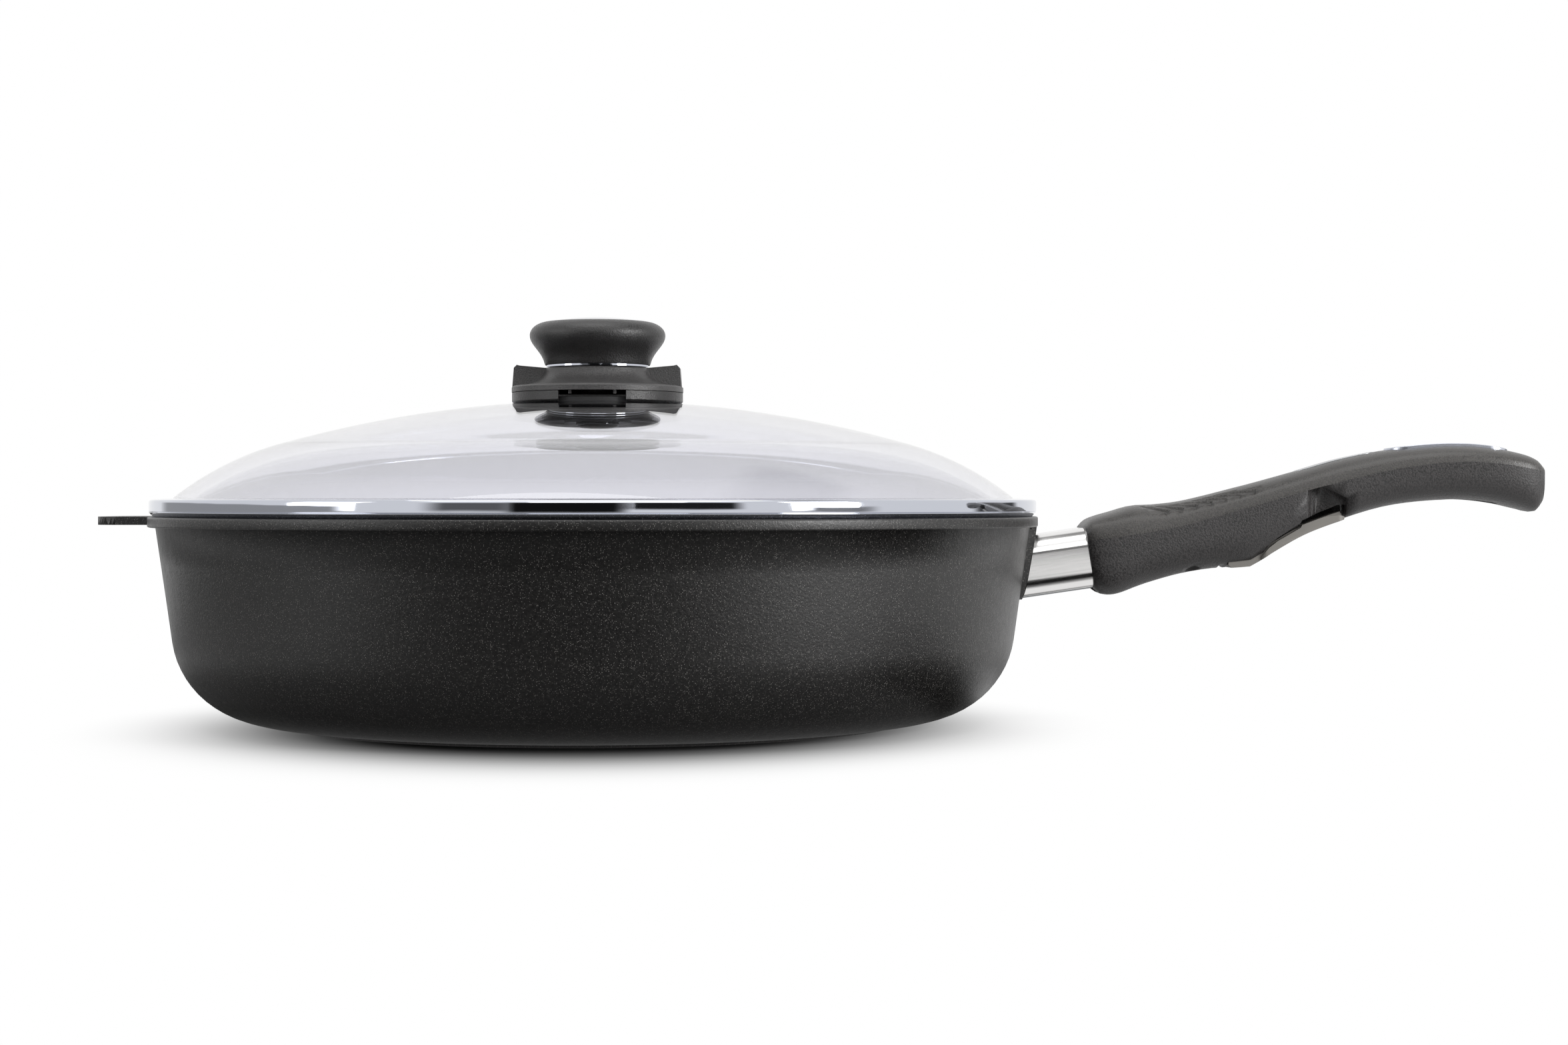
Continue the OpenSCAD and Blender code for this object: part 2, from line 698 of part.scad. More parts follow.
module vent_collar() {
    bore = collar_hub_radius + collar_clearance;
    flare = collar_edge - collar_lip - hub_top_radius;
    flare_low = collar_low + collar_band + collar_lip;
    flare_rise = collar_top - collar_lip - flare_low;
    shutter = base_ring_radius - base_ring_wall - shutter_gap;
    ceiling = collar_low + collar_band;
    color("#343231") union() {
        difference() {
            rotate_extrude() polygon(concat(
                [[bore, floor_top + shutter_gap], [bore + shutter_wall, floor_top + shutter_gap],
                 [bore + shutter_wall, ceiling], [shutter - shutter_wall, ceiling],
                 [shutter - shutter_wall, floor_top + shutter_gap], [shutter, floor_top + shutter_gap],
                 [shutter, collar_low], [collar_edge, collar_low], [collar_edge, collar_low + collar_band]],
                [for (i = [0:8]) let(a = 90 * i / 8)
                    [hub_top_radius + flare * (1 - sin(a)), flare_low + flare_rise * (1 - cos(a))]],
                [[hub_top_radius - collar_lip, collar_top], [bore, collar_top]]));
            difference() {
                translate([-window_width / 2, -base_ring_radius, floor_top])
                    cube([window_width, 3 * base_ring_wall, collar_low - floor_top]);
                for (x = [-1, 1])
                    translate([x * window_width / 3 - shutter_post / 2, -base_ring_radius, floor_top])
                        cube([shutter_post, 4 * base_ring_wall, ring_top]);
            }
        }
        for (side = [0, 1]) mirror([side, 0, 0]) across(wing_width) polygon([
            [hub_top_radius - base_ring_wall, ceiling], [collar_edge - collar_lip, ceiling],
            [collar_edge - 2 * collar_lip, collar_top + wing_rise - 2 * collar_lip],
            [collar_edge - 4 * collar_lip, collar_top + wing_rise],
            [collar_edge - 4 * collar_lip - wing_rise, collar_top + wing_rise - collar_lip / 2],
            [hub_top_radius - collar_lip, collar_top], [hub_top_radius - base_ring_wall, collar_top]]);
    }
}

module neck_ring() {
    color("#b9bbbd") translate([0, 0, neck_z - neck_ring_height]) difference() {
        cylinder(h = neck_ring_height, r = neck_ring_radius);
        translate([0, 0, -overrun]) cylinder(h = neck_ring_height + 2 * overrun, r = screw_radius);
    }
}

module knob_grip() {
    edge_z = knob_top - knob_edge;
    edge = knob_radius - disc_radius - collar_lip / 2;
    color("#343231") rotate_extrude() polygon(concat(
        [[insert_radius, neck_z]],
        bezier([[neck_radius, neck_z], [neck_radius + neck_flare, neck_z + neck_curve_share * knob_height],
            [knob_radius, edge_z - edge_curve_share * knob_height], [knob_radius, edge_z]], 12),
        [for (i = [1:8]) let(a = 90 * i / 8)
            [knob_radius - edge * (1 - cos(a)), edge_z + knob_edge * sin(a)]],
        [[disc_radius, knob_top], [disc_radius, knob_top - disc_seat], [0, knob_top - disc_seat],
         [0, neck_z + insert_rise + insert_length], [insert_radius, neck_z + insert_rise + insert_length]]));
}

module knob_disc() {
    crown = (pow(disc_radius, 2) + pow(disc_rise, 2)) / (2 * disc_rise);
    edge_angle = asin(disc_radius / crown);
    color("#c9ccce") rotate_extrude() polygon(concat(
        [[0, knob_top - disc_seat], [disc_radius, knob_top - disc_seat]],
        arc(0, knob_top + disc_rise - crown, crown, 90 - edge_angle, 90, 10)));
}

module knob_insert() {
    color("#b08d4a") translate([0, 0, neck_z + insert_rise]) difference() {
        cylinder(h = insert_length, r = insert_radius);
        translate([0, 0, -overrun]) cylinder(h = insert_length - insert_end + overrun, r = screw_radius);
    }
}

module under_seal() {
    color("#303031") rotate_extrude() difference() {
        polygon([
            [screw_radius, under_z0 - seal_thickness], [under_seal_radius, under_z0 - seal_thickness],
            [under_seal_radius, under_z0], [screw_radius, under_z0]]);
        glass_profile();
    }
}

module under_disc() {
    top = under_z0 - seal_thickness;
    color("#9aa0a6") rotate_extrude() polygon([
        [screw_radius, top], [under_disc_radius - under_cone, top],
        [under_disc_radius, top - under_disc_drop],
        [under_disc_radius - collar_lip, top - under_disc_drop - collar_lip],
        [under_disc_radius - under_cone - collar_lip, top - under_disc_sheet],
        [screw_radius, top - under_disc_sheet]]);
}

module under_washer() {
    color("#a9acae")
        translate([0, 0, under_z0 - seal_thickness - under_disc_sheet - washer_thickness]) difference() {
            cylinder(h = washer_thickness, r = washer_radius);
            translate([0, 0, -overrun]) cylinder(h = washer_thickness + 2 * overrun, r = screw_radius);
        }
}

module knob_screw() {
    seat = under_z0 - seal_thickness - under_disc_sheet - washer_thickness;
    screw_top = neck_z + insert_rise + insert_length - 2 * insert_end;
    color("#b4b6b8") rotate_extrude() polygon(concat(
        [[0, screw_top], [screw_radius, screw_top],
         [screw_radius, seat], [head_radius, seat]],
        [for (i = [0:6]) let(a = 90 * i / 6, crown_share = head_edge_share + (1 - head_edge_share) * sin(a))
            [head_radius * cos(a), seat - head_height * crown_share]]));
}

// Handle: ferrule and bracket
module ferrule() {
    color("#cfd1d3") difference() {
        intersection() {
            handle_axes() ferrule_bar(-boss_margin * 3, ferrule_length, 0);
            beyond_boss(seat_gap);
        }
        handle_axes() {
            ferrule_bar(-boss_margin * 4, ferrule_length + overrun, ferrule_sheet);
            translate([tooth_place - 2 * tooth_play, -tooth_width / 2 - slot_side, leaf_level - overrun])
                cube([nose_place + nose_length + arm_thickness + 3 * tooth_play - tooth_place,
                    tooth_width + 2 * slot_side, ferrule_sheet + 2 * overrun]);
            for (u = rivet_places)
                translate([u, 0, 0]) cylinder(h = ferrule_height, r = rivet_radius);
        }
    }
}

module bracket_bar() {
    translate([bracket_start, -bracket_width / 2, bracket_top - bracket_thickness])
        cube([bracket_length, bracket_width, bracket_thickness]);
}

module bracket() {
    color("#8f9295") handle_axes() difference() {
        bracket_bar();
        for (u = rivet_places)
            translate([u, 0, 0]) cylinder(h = ferrule_height, r = rivet_radius);
    }
}

module rivet_heads() {
    for (u = rivet_places) {
        translate([u, 0, ferrule_height / 2]) cylinder(h = rivet_head_height, r = rivet_head);
        translate([u, 0, bracket_top - bracket_thickness - rivet_head_height])
            cylinder(h = rivet_head_height, r = rivet_head);
    }
}

module bracket_rivets() {
    color("#a3a6a8") handle_axes() {
        rivet_heads();
        for (u = rivet_places)
            translate([u, 0, bracket_top - bracket_thickness])
                cylinder(h = bracket_thickness + ferrule_sheet, r = rivet_radius);
    }
}

// Latch leaf
leaf_tail_end = [ferrule_length + leaf_tail * cos(leaf_bend), leaf_level + leaf_tail * sin(leaf_bend)];
leaf_rivet_at = [leaf_tail_end[0] - leaf_rivet_inset * cos(leaf_bend),
    leaf_tail_end[1] - leaf_rivet_inset * sin(leaf_bend)];

module leaf_outline() {
    polygon([
        [leaf_start, leaf_level - leaf_sheet], [ferrule_length, leaf_level - leaf_sheet],
        [leaf_tail_end[0], leaf_tail_end[1] - leaf_sheet], leaf_tail_end,
        [ferrule_length, leaf_level], [leaf_start, leaf_level]]);
}

// The rivet's own axes: up from the top of the leaf's tail
module leaf_rivet_axes() {
    translate([leaf_rivet_at[0], 0, leaf_rivet_at[1]]) rotate([0, -leaf_bend, 0]) children();
}

module leaf_rivet_shank(length) {
    translate([0, 0, -length]) cylinder(h = length, r = leaf_rivet_radius, $fn = 32);
}

module latch_leaf() {
    color("#b9bcbe") handle_axes() difference() {
        union() {
            across(leaf_width) leaf_outline();
            translate([tooth_place, -tooth_width / 2, leaf_level - leaf_sheet / 2])
                cube([tooth_length, tooth_width, tooth_rise + leaf_sheet / 2]);
        }
        leaf_rivet_axes() translate([0, 0, overrun]) leaf_rivet_shank(2 * overrun + leaf_sheet);
    }
}

module leaf_rivet() {
    color("#a3a6a8") handle_axes() leaf_rivet_axes() {
        leaf_rivet_shank(leaf_rivet_length);
        cylinder(h = leaf_rivet_height, r = leaf_rivet_head, $fn = 32);
    }
}

// Trigger
pivot = [trigger_front + pivot_inset, bottom_at(trigger_front) + pivot_drop / 2];
arm_pivot = [(pivot[0] - boss_reach) * cos(axis_rise) + (pivot[1] - axis_height) * sin(axis_rise),
    (pivot[1] - axis_height) * cos(axis_rise) - (pivot[0] - boss_reach) * sin(axis_rise)];
trigger_depth = 2.9;
trigger_round = 1;
trigger_steps = 12;
paddle_steps = 16;
paddle_corner = 2.5;
paddle_gap = 0.4;
// Height of the paddle along it, from its front to its back, as shares of the trigger's depth
paddle_shares = [[0, 0.35], [0.1, 0.8], [0.2, 0.97], [0.47, 1], [0.49, 1.24], [0.75, 1.12],
    [0.92, 0.72], [1, 0.3]];
paddle_start_share = 0.27;

function trigger_x(i) = trigger_front + trigger_round
    + (trigger_length - 2 * trigger_round) * i / trigger_steps;
function lift(p, a) = [pivot[0] + (p[0] - pivot[0]) * cos(a) - (p[1] - pivot[1]) * sin(a),
    pivot[1] + (p[0] - pivot[0]) * sin(a) + (p[1] - pivot[1]) * cos(a)];
function paddle_at(t) = trigger_front + trigger_length * (paddle_start_share + (1 - paddle_start_share) * t);

trigger_low = [for (i = [0:trigger_steps]) [trigger_x(i), bottom_at(trigger_x(i))]];
trigger_high = [for (i = [trigger_steps:-1:3])
    [trigger_x(i) - trigger_depth / 4, bottom_at(trigger_x(i)) + trigger_depth]];
paddle_low = [for (i = [0:paddle_steps]) let(x = paddle_at(i / paddle_steps)) [x, bottom_at(x)]];
paddle_high = [for (p = paddle_shares) let(x = paddle_at(p[0]))
    [x, bottom_at(x) + p[1] * trigger_depth]];

module trigger_outline() {
    polygon(concat(
        [[trigger_front, trigger_low[0][1] + trigger_round]], trigger_low,
        [[trigger_back, trigger_low[trigger_steps][1] + trigger_round],
         [trigger_back - trigger_round, trigger_low[trigger_steps][1] + trigger_depth / 2]],
        trigger_high,
        [[pivot[0] + hub_radius, pivot[1]], [trigger_front + trigger_round / 2, pivot[1]],
         [trigger_front, pivot[1] - trigger_round / 2]]));
    translate(pivot) circle(hub_radius);
}

// The wide paddle, which closes the underside between the skirts
module paddle() {
    low = [for (i = [len(paddle_low) - 1:-1:0]) paddle_low[i]];
    intersection() {
        across(paddle_width) polygon(concat(paddle_high, low));
        translate([(paddle_at(0) + paddle_at(1)) / 2, 0, 0]) linear_extrude(reach)
            rounded_rect(paddle_at(1) - paddle_at(0), paddle_width, paddle_corner);
    }
}

// The room that the trigger's body sweeps as it is squeezed
module trigger_room() {
    g = well_gap;
    low = trigger_low[0][1];
    back_low = trigger_low[trigger_steps][1];
    polygon(concat(
        [[trigger_front - g, low - reach / 4], [trigger_back + g, low - reach / 4],
         [trigger_back + g, lift([trigger_back, back_low + trigger_depth + g], squeeze_angle)[1]]],
        [for (p = trigger_high) lift([p[0], p[1] + g], squeeze_angle)],
        [lift([pivot[0] + hub_radius, pivot[1] + hub_radius + g], squeeze_angle)],
        [[trigger_front - g, pivot[1] + hub_radius + g]]));
    translate(pivot) circle(hub_radius + g);
}

// What the skirts leave free: the foot's edge, and the room that the paddle sweeps
module skirt_room() {
    swept = [for (p = paddle_high) lift([p[0], p[1] + paddle_gap], squeeze_angle)];
    foot = [for (i = [0:trigger_steps]) if (trigger_x(i) < paddle_at(0) - trigger_round)
        [trigger_x(i), bottom_at(trigger_x(i)) + foot_show]];
    polygon(concat(
        [[trigger_front, grip_low - reach / 4]], foot,
        [[paddle_at(0) - paddle_gap, bottom_at(paddle_at(0)) + foot_show]],
        [[swept[0][0] - paddle_gap, swept[0][1]]], swept,
        [[trigger_back + well_gap, swept[len(swept) - 1][1] - well_gap],
         [trigger_back + well_gap, grip_low - reach / 4]]));
}

// The arm in the handle's own axes
module arm_outline(grow) {
    polygon([
        [nose_place - grow, arm_level + arm_thickness / 2 + grow],
        [nose_place - grow, leaf_level + nose_gap - grow],
        [nose_place + nose_length + grow, leaf_level + nose_gap - grow],
        [nose_place + nose_length + arm_thickness + grow, arm_level - arm_thickness / 2 - grow],
        [arm_pivot[0], arm_level - arm_thickness / 2 - grow],
        [arm_pivot[0], arm_pivot[1] + hub_radius - trigger_round + grow]]);
}

module trigger() {
    color("#9a9894") difference() {
        union() {
            across(trigger_width) trigger_outline();
            paddle();
            handle_axes() across(arm_width) arm_outline(0);
        }
        translate([pivot[0], trigger_width, pivot[1]]) rotate([90, 0, 0])
            cylinder(h = 2 * trigger_width, r = pin_radius + pin_clearance);
        for (y = [-1, 1])
            translate([0, y * (trigger_width / 2 + arm_width / 2 + trigger_clearance), 0])
                handle_axes() across(trigger_width) translate([0, leaf_level])
                    square([arm_pivot[0] - hub_radius, ferrule_height]);
    }
}

module trigger_pin() {
    color("#b4b6b8") translate([pivot[0], pin_length / 2, pivot[1]]) rotate([90, 0, 0])
        cylinder(h = pin_length, r = pin_radius);
}

// Grip
screw_side = 7.9;
screw_ahead = 12;
slot_middle = grip_x + grip_length - slot_inset - slot_length / 2;
screw_places = [for (y = [-1, 1]) [trigger_front - screw_ahead, y * screw_side],
    [(trigger_back + slot_middle - slot_length / 2) / 2, 0]];
shell_screw_radius = 1.3;
shell_screw_head = 2.4;
shell_screw_head_height = 1.6;
shell_screw_recess = 3.4;
shell_screw_bite = 3.6;

module shell_screw_at(p, extra) {
    low = bottom_at(p[0]) + shell_screw_recess;
    translate([p[0], p[1], low])
        cylinder(h = seam_at(p[0]) + shell_screw_bite - low, r = shell_screw_radius, $fn = 32);
    translate([p[0], p[1], low - extra])
        cylinder(h = shell_screw_head_height + extra, r = shell_screw_head, $fn = 32);
}

module shell_screws() {
    color("#7f8284") for (p = screw_places) shell_screw_at(p, 0);
}

inlay_back = grip_x + grip_length - slot_inset + (inlay_width - slot_width) / 2;
inlay_middle = inlay_back - inlay_length / 2;
strip_middle = inlay_back - inlay_length - strip_space - strip_length / 2;
crown_steps = 14;

// A band that follows the grip's top, from below it to above it
module crown_band(from, to, proud, depth) {
    xs = [for (i = [0:crown_steps]) from + (to - from) * i / crown_steps];
    polygon(concat([for (x = xs) [x, top_at(x) + proud]],
        [for (i = [crown_steps:-1:0]) [xs[i], top_at(xs[i]) - depth]]));
}

module inlay_solid(depth) {
    intersection() {
        across(inlay_width) crown_band(inlay_back - inlay_length, inlay_back, inlay_proud, depth);
        translate([inlay_middle, 0, 0]) linear_extrude(reach) stadium(inlay_length, inlay_width);
    }
}

module slot_hole() {
    translate([slot_middle, 0, 0]) linear_extrude(reach) stadium(slot_length, slot_width);
}

module slot_inlay() {
    color("#c9ccce") difference() {
        inlay_solid(inlay_depth);
        slot_hole();
    }
}

module strip_solid() {
    intersection() {
        across(strip_width) crown_band(strip_middle - strip_length / 2, strip_middle + strip_length / 2,
            inlay_proud, inlay_depth);
        translate([strip_middle, 0, 0]) linear_extrude(reach) stadium(strip_length, strip_width);
    }
}

module top_strip() {
    color("#8c8e90") strip_solid();
}

groove_start_share = 0.168;
groove_pitch_share = 0.032;
groove_length = 9.9;
groove_growth = 1.1;
groove_top_angle = 70;
groove_end_angle = 33;
groove_width = 1.5;
groove_tip = 0.1;
groove_lift = 0.5;

// A point over the upper shell, by its place along the grip and its angle round the section
function over_shell(x, angle, rise) = let(
    s = share_of(x), seam = seam_at(x), half = grip_width / 2 * grip_value(4, s))
    [x, -half * signed_power(cos(angle), 2 / upper_square),
     seam + (top_at(x) - seam) * signed_power(sin(angle), 2 / upper_square) + rise];

// A cone from a point to another
module tapered(p, q, r1, r2) {
    d = q - p;
    translate(p) rotate([0, acos(d[2] / norm(d)), atan2(d[1], d[0])])
        cylinder(h = norm(d), r1 = r1, r2 = r2, $fn = 32);
}

// The thumb grooves: each starts fine near the crest and ends round on the shoulder
module thumb_grooves() {
    for (i = [0:groove_count - 1]) {
        end = grip_x + grip_length * (groove_start_share + groove_pitch_share * i);
        start = end - groove_length - groove_growth * i;
        tapered(over_shell(start, groove_top_angle, groove_lift),
            over_shell(end, groove_end_angle, groove_lift), groove_tip, groove_width);
    }
}

module grip_upper() {
    color("#3c3a39") difference() {
        shell_solid(true);
        handle_axes() {
            ferrule_bar(0, ferrule_length, 0);
            bracket_bar();
            rivet_heads();
        }
        for (p = screw_places) shell_screw_at(p, 0);
        inlay_solid(inlay_depth);
        strip_solid();
        for (side = [0, 1]) mirror([0, side, 0]) thumb_grooves();
        slot_hole();
    }
}

// Room for the leaf to bend and the arm to swing, in the handle's own axes
module latch_room() {
    swing = squeeze_angle * PI / 180;
    mouth = grip_start - room_overrun;
    rivet_fall = leaf_rivet_head * tan(leaf_bend);
    drop = swing * (arm_pivot[0] - mouth) + leaf_gap / 2;
    arm_low = arm_level - arm_thickness / 2 - swing * (arm_pivot[0] - leaf_rivet_at[0]) - leaf_gap / 2;
    polygon([
        [mouth, leaf_level], [mouth, leaf_level - leaf_sheet - drop],
        [ferrule_length, leaf_level - leaf_sheet - drop / 3],
        [leaf_rivet_at[0] - leaf_rivet_head, leaf_rivet_at[1] - leaf_sheet - rivet_fall],
        [leaf_tail_end[0] + leaf_gap, leaf_tail_end[1] - leaf_sheet + leaf_gap * tan(leaf_bend)],
        [leaf_tail_end[0] + leaf_gap, arm_low], [arm_pivot[0], arm_low],
        [arm_pivot[0], arm_pivot[1] + hub_radius],
        [ferrule_length - overrun, arm_level + arm_thickness / 2 + leaf_gap],
        [ferrule_length - overrun, leaf_level]]);
}

scoop_share = 0.6;
scoop_x = trigger_front + scoop_share * trigger_length;
scoop_round = 7;
scoop_lean = 8;
scoop_tilt = 10;
scoop_top_length = 8;
scoop_fall = 6;
cross_groove_radius = 1.3;
cross_groove_space = 2;

// Finger scoop in one side of the lower shell, over the rear of the trigger
module scoop() {
    side = grip_width / 2 * grip_value(4, share_of(scoop_x));
    low = bottom_at(scoop_x);
    right = trigger_back + paddle_gap;
    top_x = scoop_x + scoop_top_length;
    intersection() {
        translate([scoop_x, side, low]) rotate([scoop_tilt, 0, 0]) rotate([0, scoop_lean, 0])
            translate([0, 0, -grip_rise]) linear_extrude(2 * grip_rise) polygon(concat(
                arc(scoop_round, scoop_round - scoop_depth, scoop_round, 180, 270, 8),
                [[trigger_length, -scoop_depth], [trigger_length, scoop_round - scoop_depth]]));
        across(reach) polygon([
            [scoop_x - scoop_round, low - scoop_round], [right, low],
            [right, seam_at(right) - scoop_fall], [top_x, seam_at(top_x)],
            [top_x, grip_low + 2 * grip_rise], [scoop_x - scoop_round, grip_low + 2 * grip_rise]]);
    }
}

module grip_lower() {
    color("#33312f") difference() {
        shell_solid(false);
        handle_axes() {
            ferrule_bar(0, ferrule_length, 0);
            bracket_bar();
            rivet_heads();
            across(leaf_width + 2 * leaf_gap) latch_room();
            leaf_rivet_axes() leaf_rivet_shank(leaf_rivet_length);
        }
        across(trigger_width + 2 * trigger_clearance) trigger_room();
        across(2 * grip_width) skirt_room();
        translate([pivot[0], pin_length / 2, pivot[1]]) rotate([90, 0, 0])
            cylinder(h = pin_length, r = pin_radius);
        for (p = screw_places) shell_screw_at(p, grip_drop);
        for (side = [0, 1]) mirror([0, side, 0]) scoop();
        translate([trigger_front - cross_groove_space, 0, bottom_at(trigger_front)]) rotate([90, 0, 0])
            cylinder(h = grip_width, r = cross_groove_radius, center = true, $fn = 32);
        slot_hole();
    }
}

pan_body();
base_plate();
lid_glass();
lid_rim();
rim_seal();
knob_gasket();
knob_base();
vent_collar();
neck_ring();
knob_grip();
knob_disc();
knob_insert();
under_seal();
under_disc();
under_washer();
knob_screw();
ferrule();
bracket();
bracket_rivets();
latch_leaf();
leaf_rivet();
grip_lower();
grip_upper();
shell_screws();
slot_inlay();
top_strip();
trigger();
trigger_pin();
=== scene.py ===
import math

import bmesh
import bpy
from bpy.props import FloatProperty, FloatVectorProperty, IntProperty, PointerProperty
from mathutils import Matrix, Vector


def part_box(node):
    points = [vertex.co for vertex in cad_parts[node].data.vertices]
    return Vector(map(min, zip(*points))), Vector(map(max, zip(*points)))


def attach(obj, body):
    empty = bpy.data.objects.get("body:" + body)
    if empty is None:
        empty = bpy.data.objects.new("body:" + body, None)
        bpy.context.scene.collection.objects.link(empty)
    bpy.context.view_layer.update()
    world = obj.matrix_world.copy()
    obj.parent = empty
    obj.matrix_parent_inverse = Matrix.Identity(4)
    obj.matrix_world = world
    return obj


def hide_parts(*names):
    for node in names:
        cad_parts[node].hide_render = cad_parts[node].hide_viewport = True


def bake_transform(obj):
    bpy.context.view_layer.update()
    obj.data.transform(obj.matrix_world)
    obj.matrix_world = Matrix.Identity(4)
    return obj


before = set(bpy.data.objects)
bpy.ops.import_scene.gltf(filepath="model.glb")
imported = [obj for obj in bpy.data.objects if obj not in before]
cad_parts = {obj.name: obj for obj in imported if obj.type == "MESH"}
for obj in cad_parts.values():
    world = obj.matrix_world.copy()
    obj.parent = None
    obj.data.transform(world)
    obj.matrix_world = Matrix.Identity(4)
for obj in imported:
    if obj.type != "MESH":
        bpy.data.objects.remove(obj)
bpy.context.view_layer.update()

bl_info = {
    "name": "Deep frying pan",
    "version": (1, 0, 0),
    "blender": (4, 5, 0),
    "location": "3D View > Sidebar > Pan",
    "description": "Dresses a deep frying pan with a pull-off handle and a domed glass lid",
    "category": "Object",
}

MM = 0.001

# The photograph's size in pixels, its focal length on that width, and its horizon's row from the top
PHOTO_WIDTH, PHOTO_HEIGHT = 2352, 1568
FOCAL_PIXELS = 3953
HORIZON_PIXEL = 748.2
SENSOR_WIDTH = 36
CAMERA_PLACE = (0.0625, -0.884, 0.0739)

# Edges that bend by more than this many degrees stay sharp
CREASE = 32
CAST_CREASE, GLASS_CREASE, RIM_CREASE, KNOB_CREASE = 28, 25, 40, 35
# Points nearer than this are merged, in a copy of a CAD node and in a turned piece
CAD_MERGE, TURNED_MERGE = 0.002 * MM, 0.001 * MM
# Faces that bend by less than this many degrees are joined before their edges are broken
FLAT_BEND = 0.5
# An arc takes up no more than this share of the shorter side at its corner
ARC_SHARE = 0.49
# Faces round the knob and its disc
KNOB_TURNS = 128

# The rib at the back of the trigger's room and the trigger's slot for it, as (x, z) points in millimetres,
# and half of their thicknesses
RIB_OUTLINE = ((235.5, 68), (239, 70.5), (243.5, 72.8), (248.9, 73.5), (248.9, 69.2),
               (246, 68.95), (242, 67.6), (238, 66.2), (235.5, 65.1))
SLOT_OUTLINE = ((234, 70), (249.8, 73), (249.8, 67.3), (246, 66.95), (242, 65.75), (238, 64.5), (234, 62.7))
RIB_HALF, SLOT_HALF = 0.6, 1

# Inputs and output of a Mix node that mixes colours
FACTOR, FIRST, SECOND, MIXED = 0, 6, 7, 2
# The range that most of a noise lies in, for where it is stretched to the full 0 to 1
NOISE_LOW, NOISE_HIGH = 0.36, 0.64


# Helpers

def linear(hex_colour):
    """An sRGB hex colour as linear RGBA."""
    channels = [int(hex_colour[i:i + 2], 16) / 255 for i in (1, 3, 5)]
    return tuple(c / 12.92 if c <= 0.04045 else ((c + 0.055) / 1.055) ** 2.4 for c in channels) + (1.0,)


def scaled(colour, factor):
    """A lighter or darker colour."""
    return tuple(factor * c for c in colour[:3]) + (1.0,)


def per_mm(size):
    """The texture scale whose features are this many millimetres wide."""
    return 1 / (size * MM)


def link(tree, source, target, name):
    """Links a socket, or the first output of a node, to an input of another node."""
    socket = source.outputs[0] if isinstance(source, bpy.types.Node) else source
    tree.links.new(socket, target.inputs[name])


def node(tree, kind, inputs=None, **settings):
    """Adds a node with its settings, and a value or a link for each input."""
    added = tree.nodes.new(kind)
    for key, value in settings.items():
        setattr(added, key, value)
    for key, value in (inputs or {}).items():
        if isinstance(value, (bpy.types.Node, bpy.types.NodeSocket)):
            link(tree, value, added, key)
        else:
            added.inputs[key].default_value = value
    return added


def finish_on(name, **sockets):
    """A new material, its node tree, its object coordinates and its Principled shader."""
    made = bpy.data.materials.new(name)
    made.use_nodes = True
    tree = made.node_tree
    shader = tree.nodes["Principled BSDF"]
    for key, value in sockets.items():
        shader.inputs[key.replace("_", " ")].default_value = value
    place = node(tree, "ShaderNodeTexCoord").outputs["Object"]
    return made, tree, place, shader


def shaded(mesh, crease):
    """Shades a mesh smooth up to the crease angle."""
    mesh.shade_smooth()
    mesh.set_sharp_from_angle(angle=math.radians(crease))


def piece_from(bm, name, crease=CREASE):
    """A new object from a bmesh, shaded smooth up to the crease angle."""
    mesh = bpy.data.meshes.new(name)
    bm.to_mesh(mesh)
    bm.free()
    shaded(mesh, crease)
    piece = bpy.data.objects.new(name, mesh)
    bpy.context.scene.collection.objects.link(piece)
    return piece


def combined(piece, tool, operation, crease):
    """Joins a tool to a piece, or cuts it out, and takes the tool away."""
    change = piece.modifiers.new("Boolean", "BOOLEAN")
    change.operation, change.object, change.solver = operation, tool, "EXACT"
    mesh = bpy.data.meshes.new_from_object(piece.evaluated_get(bpy.context.evaluated_depsgraph_get()))
    piece.modifiers.clear()
    piece.data = mesh
    shaded(mesh, crease)
    bpy.data.objects.remove(tool)
    return piece


def dressed(source, name, crease=CREASE, soft=0.0, tool=None, operation="DIFFERENCE"):
    """A merged copy of a CAD node, changed by a tool, with its sharp edges broken by soft millimetres."""
    bm = bmesh.new()
    bm.from_mesh(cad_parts[source].data)
    bmesh.ops.remove_doubles(bm, verts=bm.verts, dist=CAD_MERGE)
    bmesh.ops.dissolve_degenerate(bm, edges=bm.edges, dist=CAD_MERGE)
    if soft:
        bmesh.ops.dissolve_limit(bm, verts=bm.verts, edges=bm.edges, angle_limit=math.radians(FLAT_BEND))
    piece = piece_from(bm, name, crease)
    if tool:
        combined(piece, tool, operation, crease)
    if soft:
        broken = piece.modifiers.new("Broken_edges", "BEVEL")
        broken.limit_method, broken.angle_limit = "ANGLE", math.radians(crease)
        broken.width, broken.segments, broken.harden_normals = soft * MM, 2, True
    return piece


def slab(outline, half):
    """A straight tool, half its thickness to each side of the middle plane, from (x, z) points in mm."""
    bm = bmesh.new()
    face = bm.faces.new([bm.verts.new((x * MM, -half * MM, z * MM)) for x, z in outline])
    grown = bmesh.ops.extrude_face_region(bm, geom=[face])["geom"]
    verts = [part for part in grown if isinstance(part, bmesh.types.BMVert)]
    bmesh.ops.translate(bm, verts=verts, vec=(0, 2 * half * MM, 0))
    bmesh.ops.recalc_face_normals(bm, faces=bm.faces)
    return piece_from(bm, "Tool")


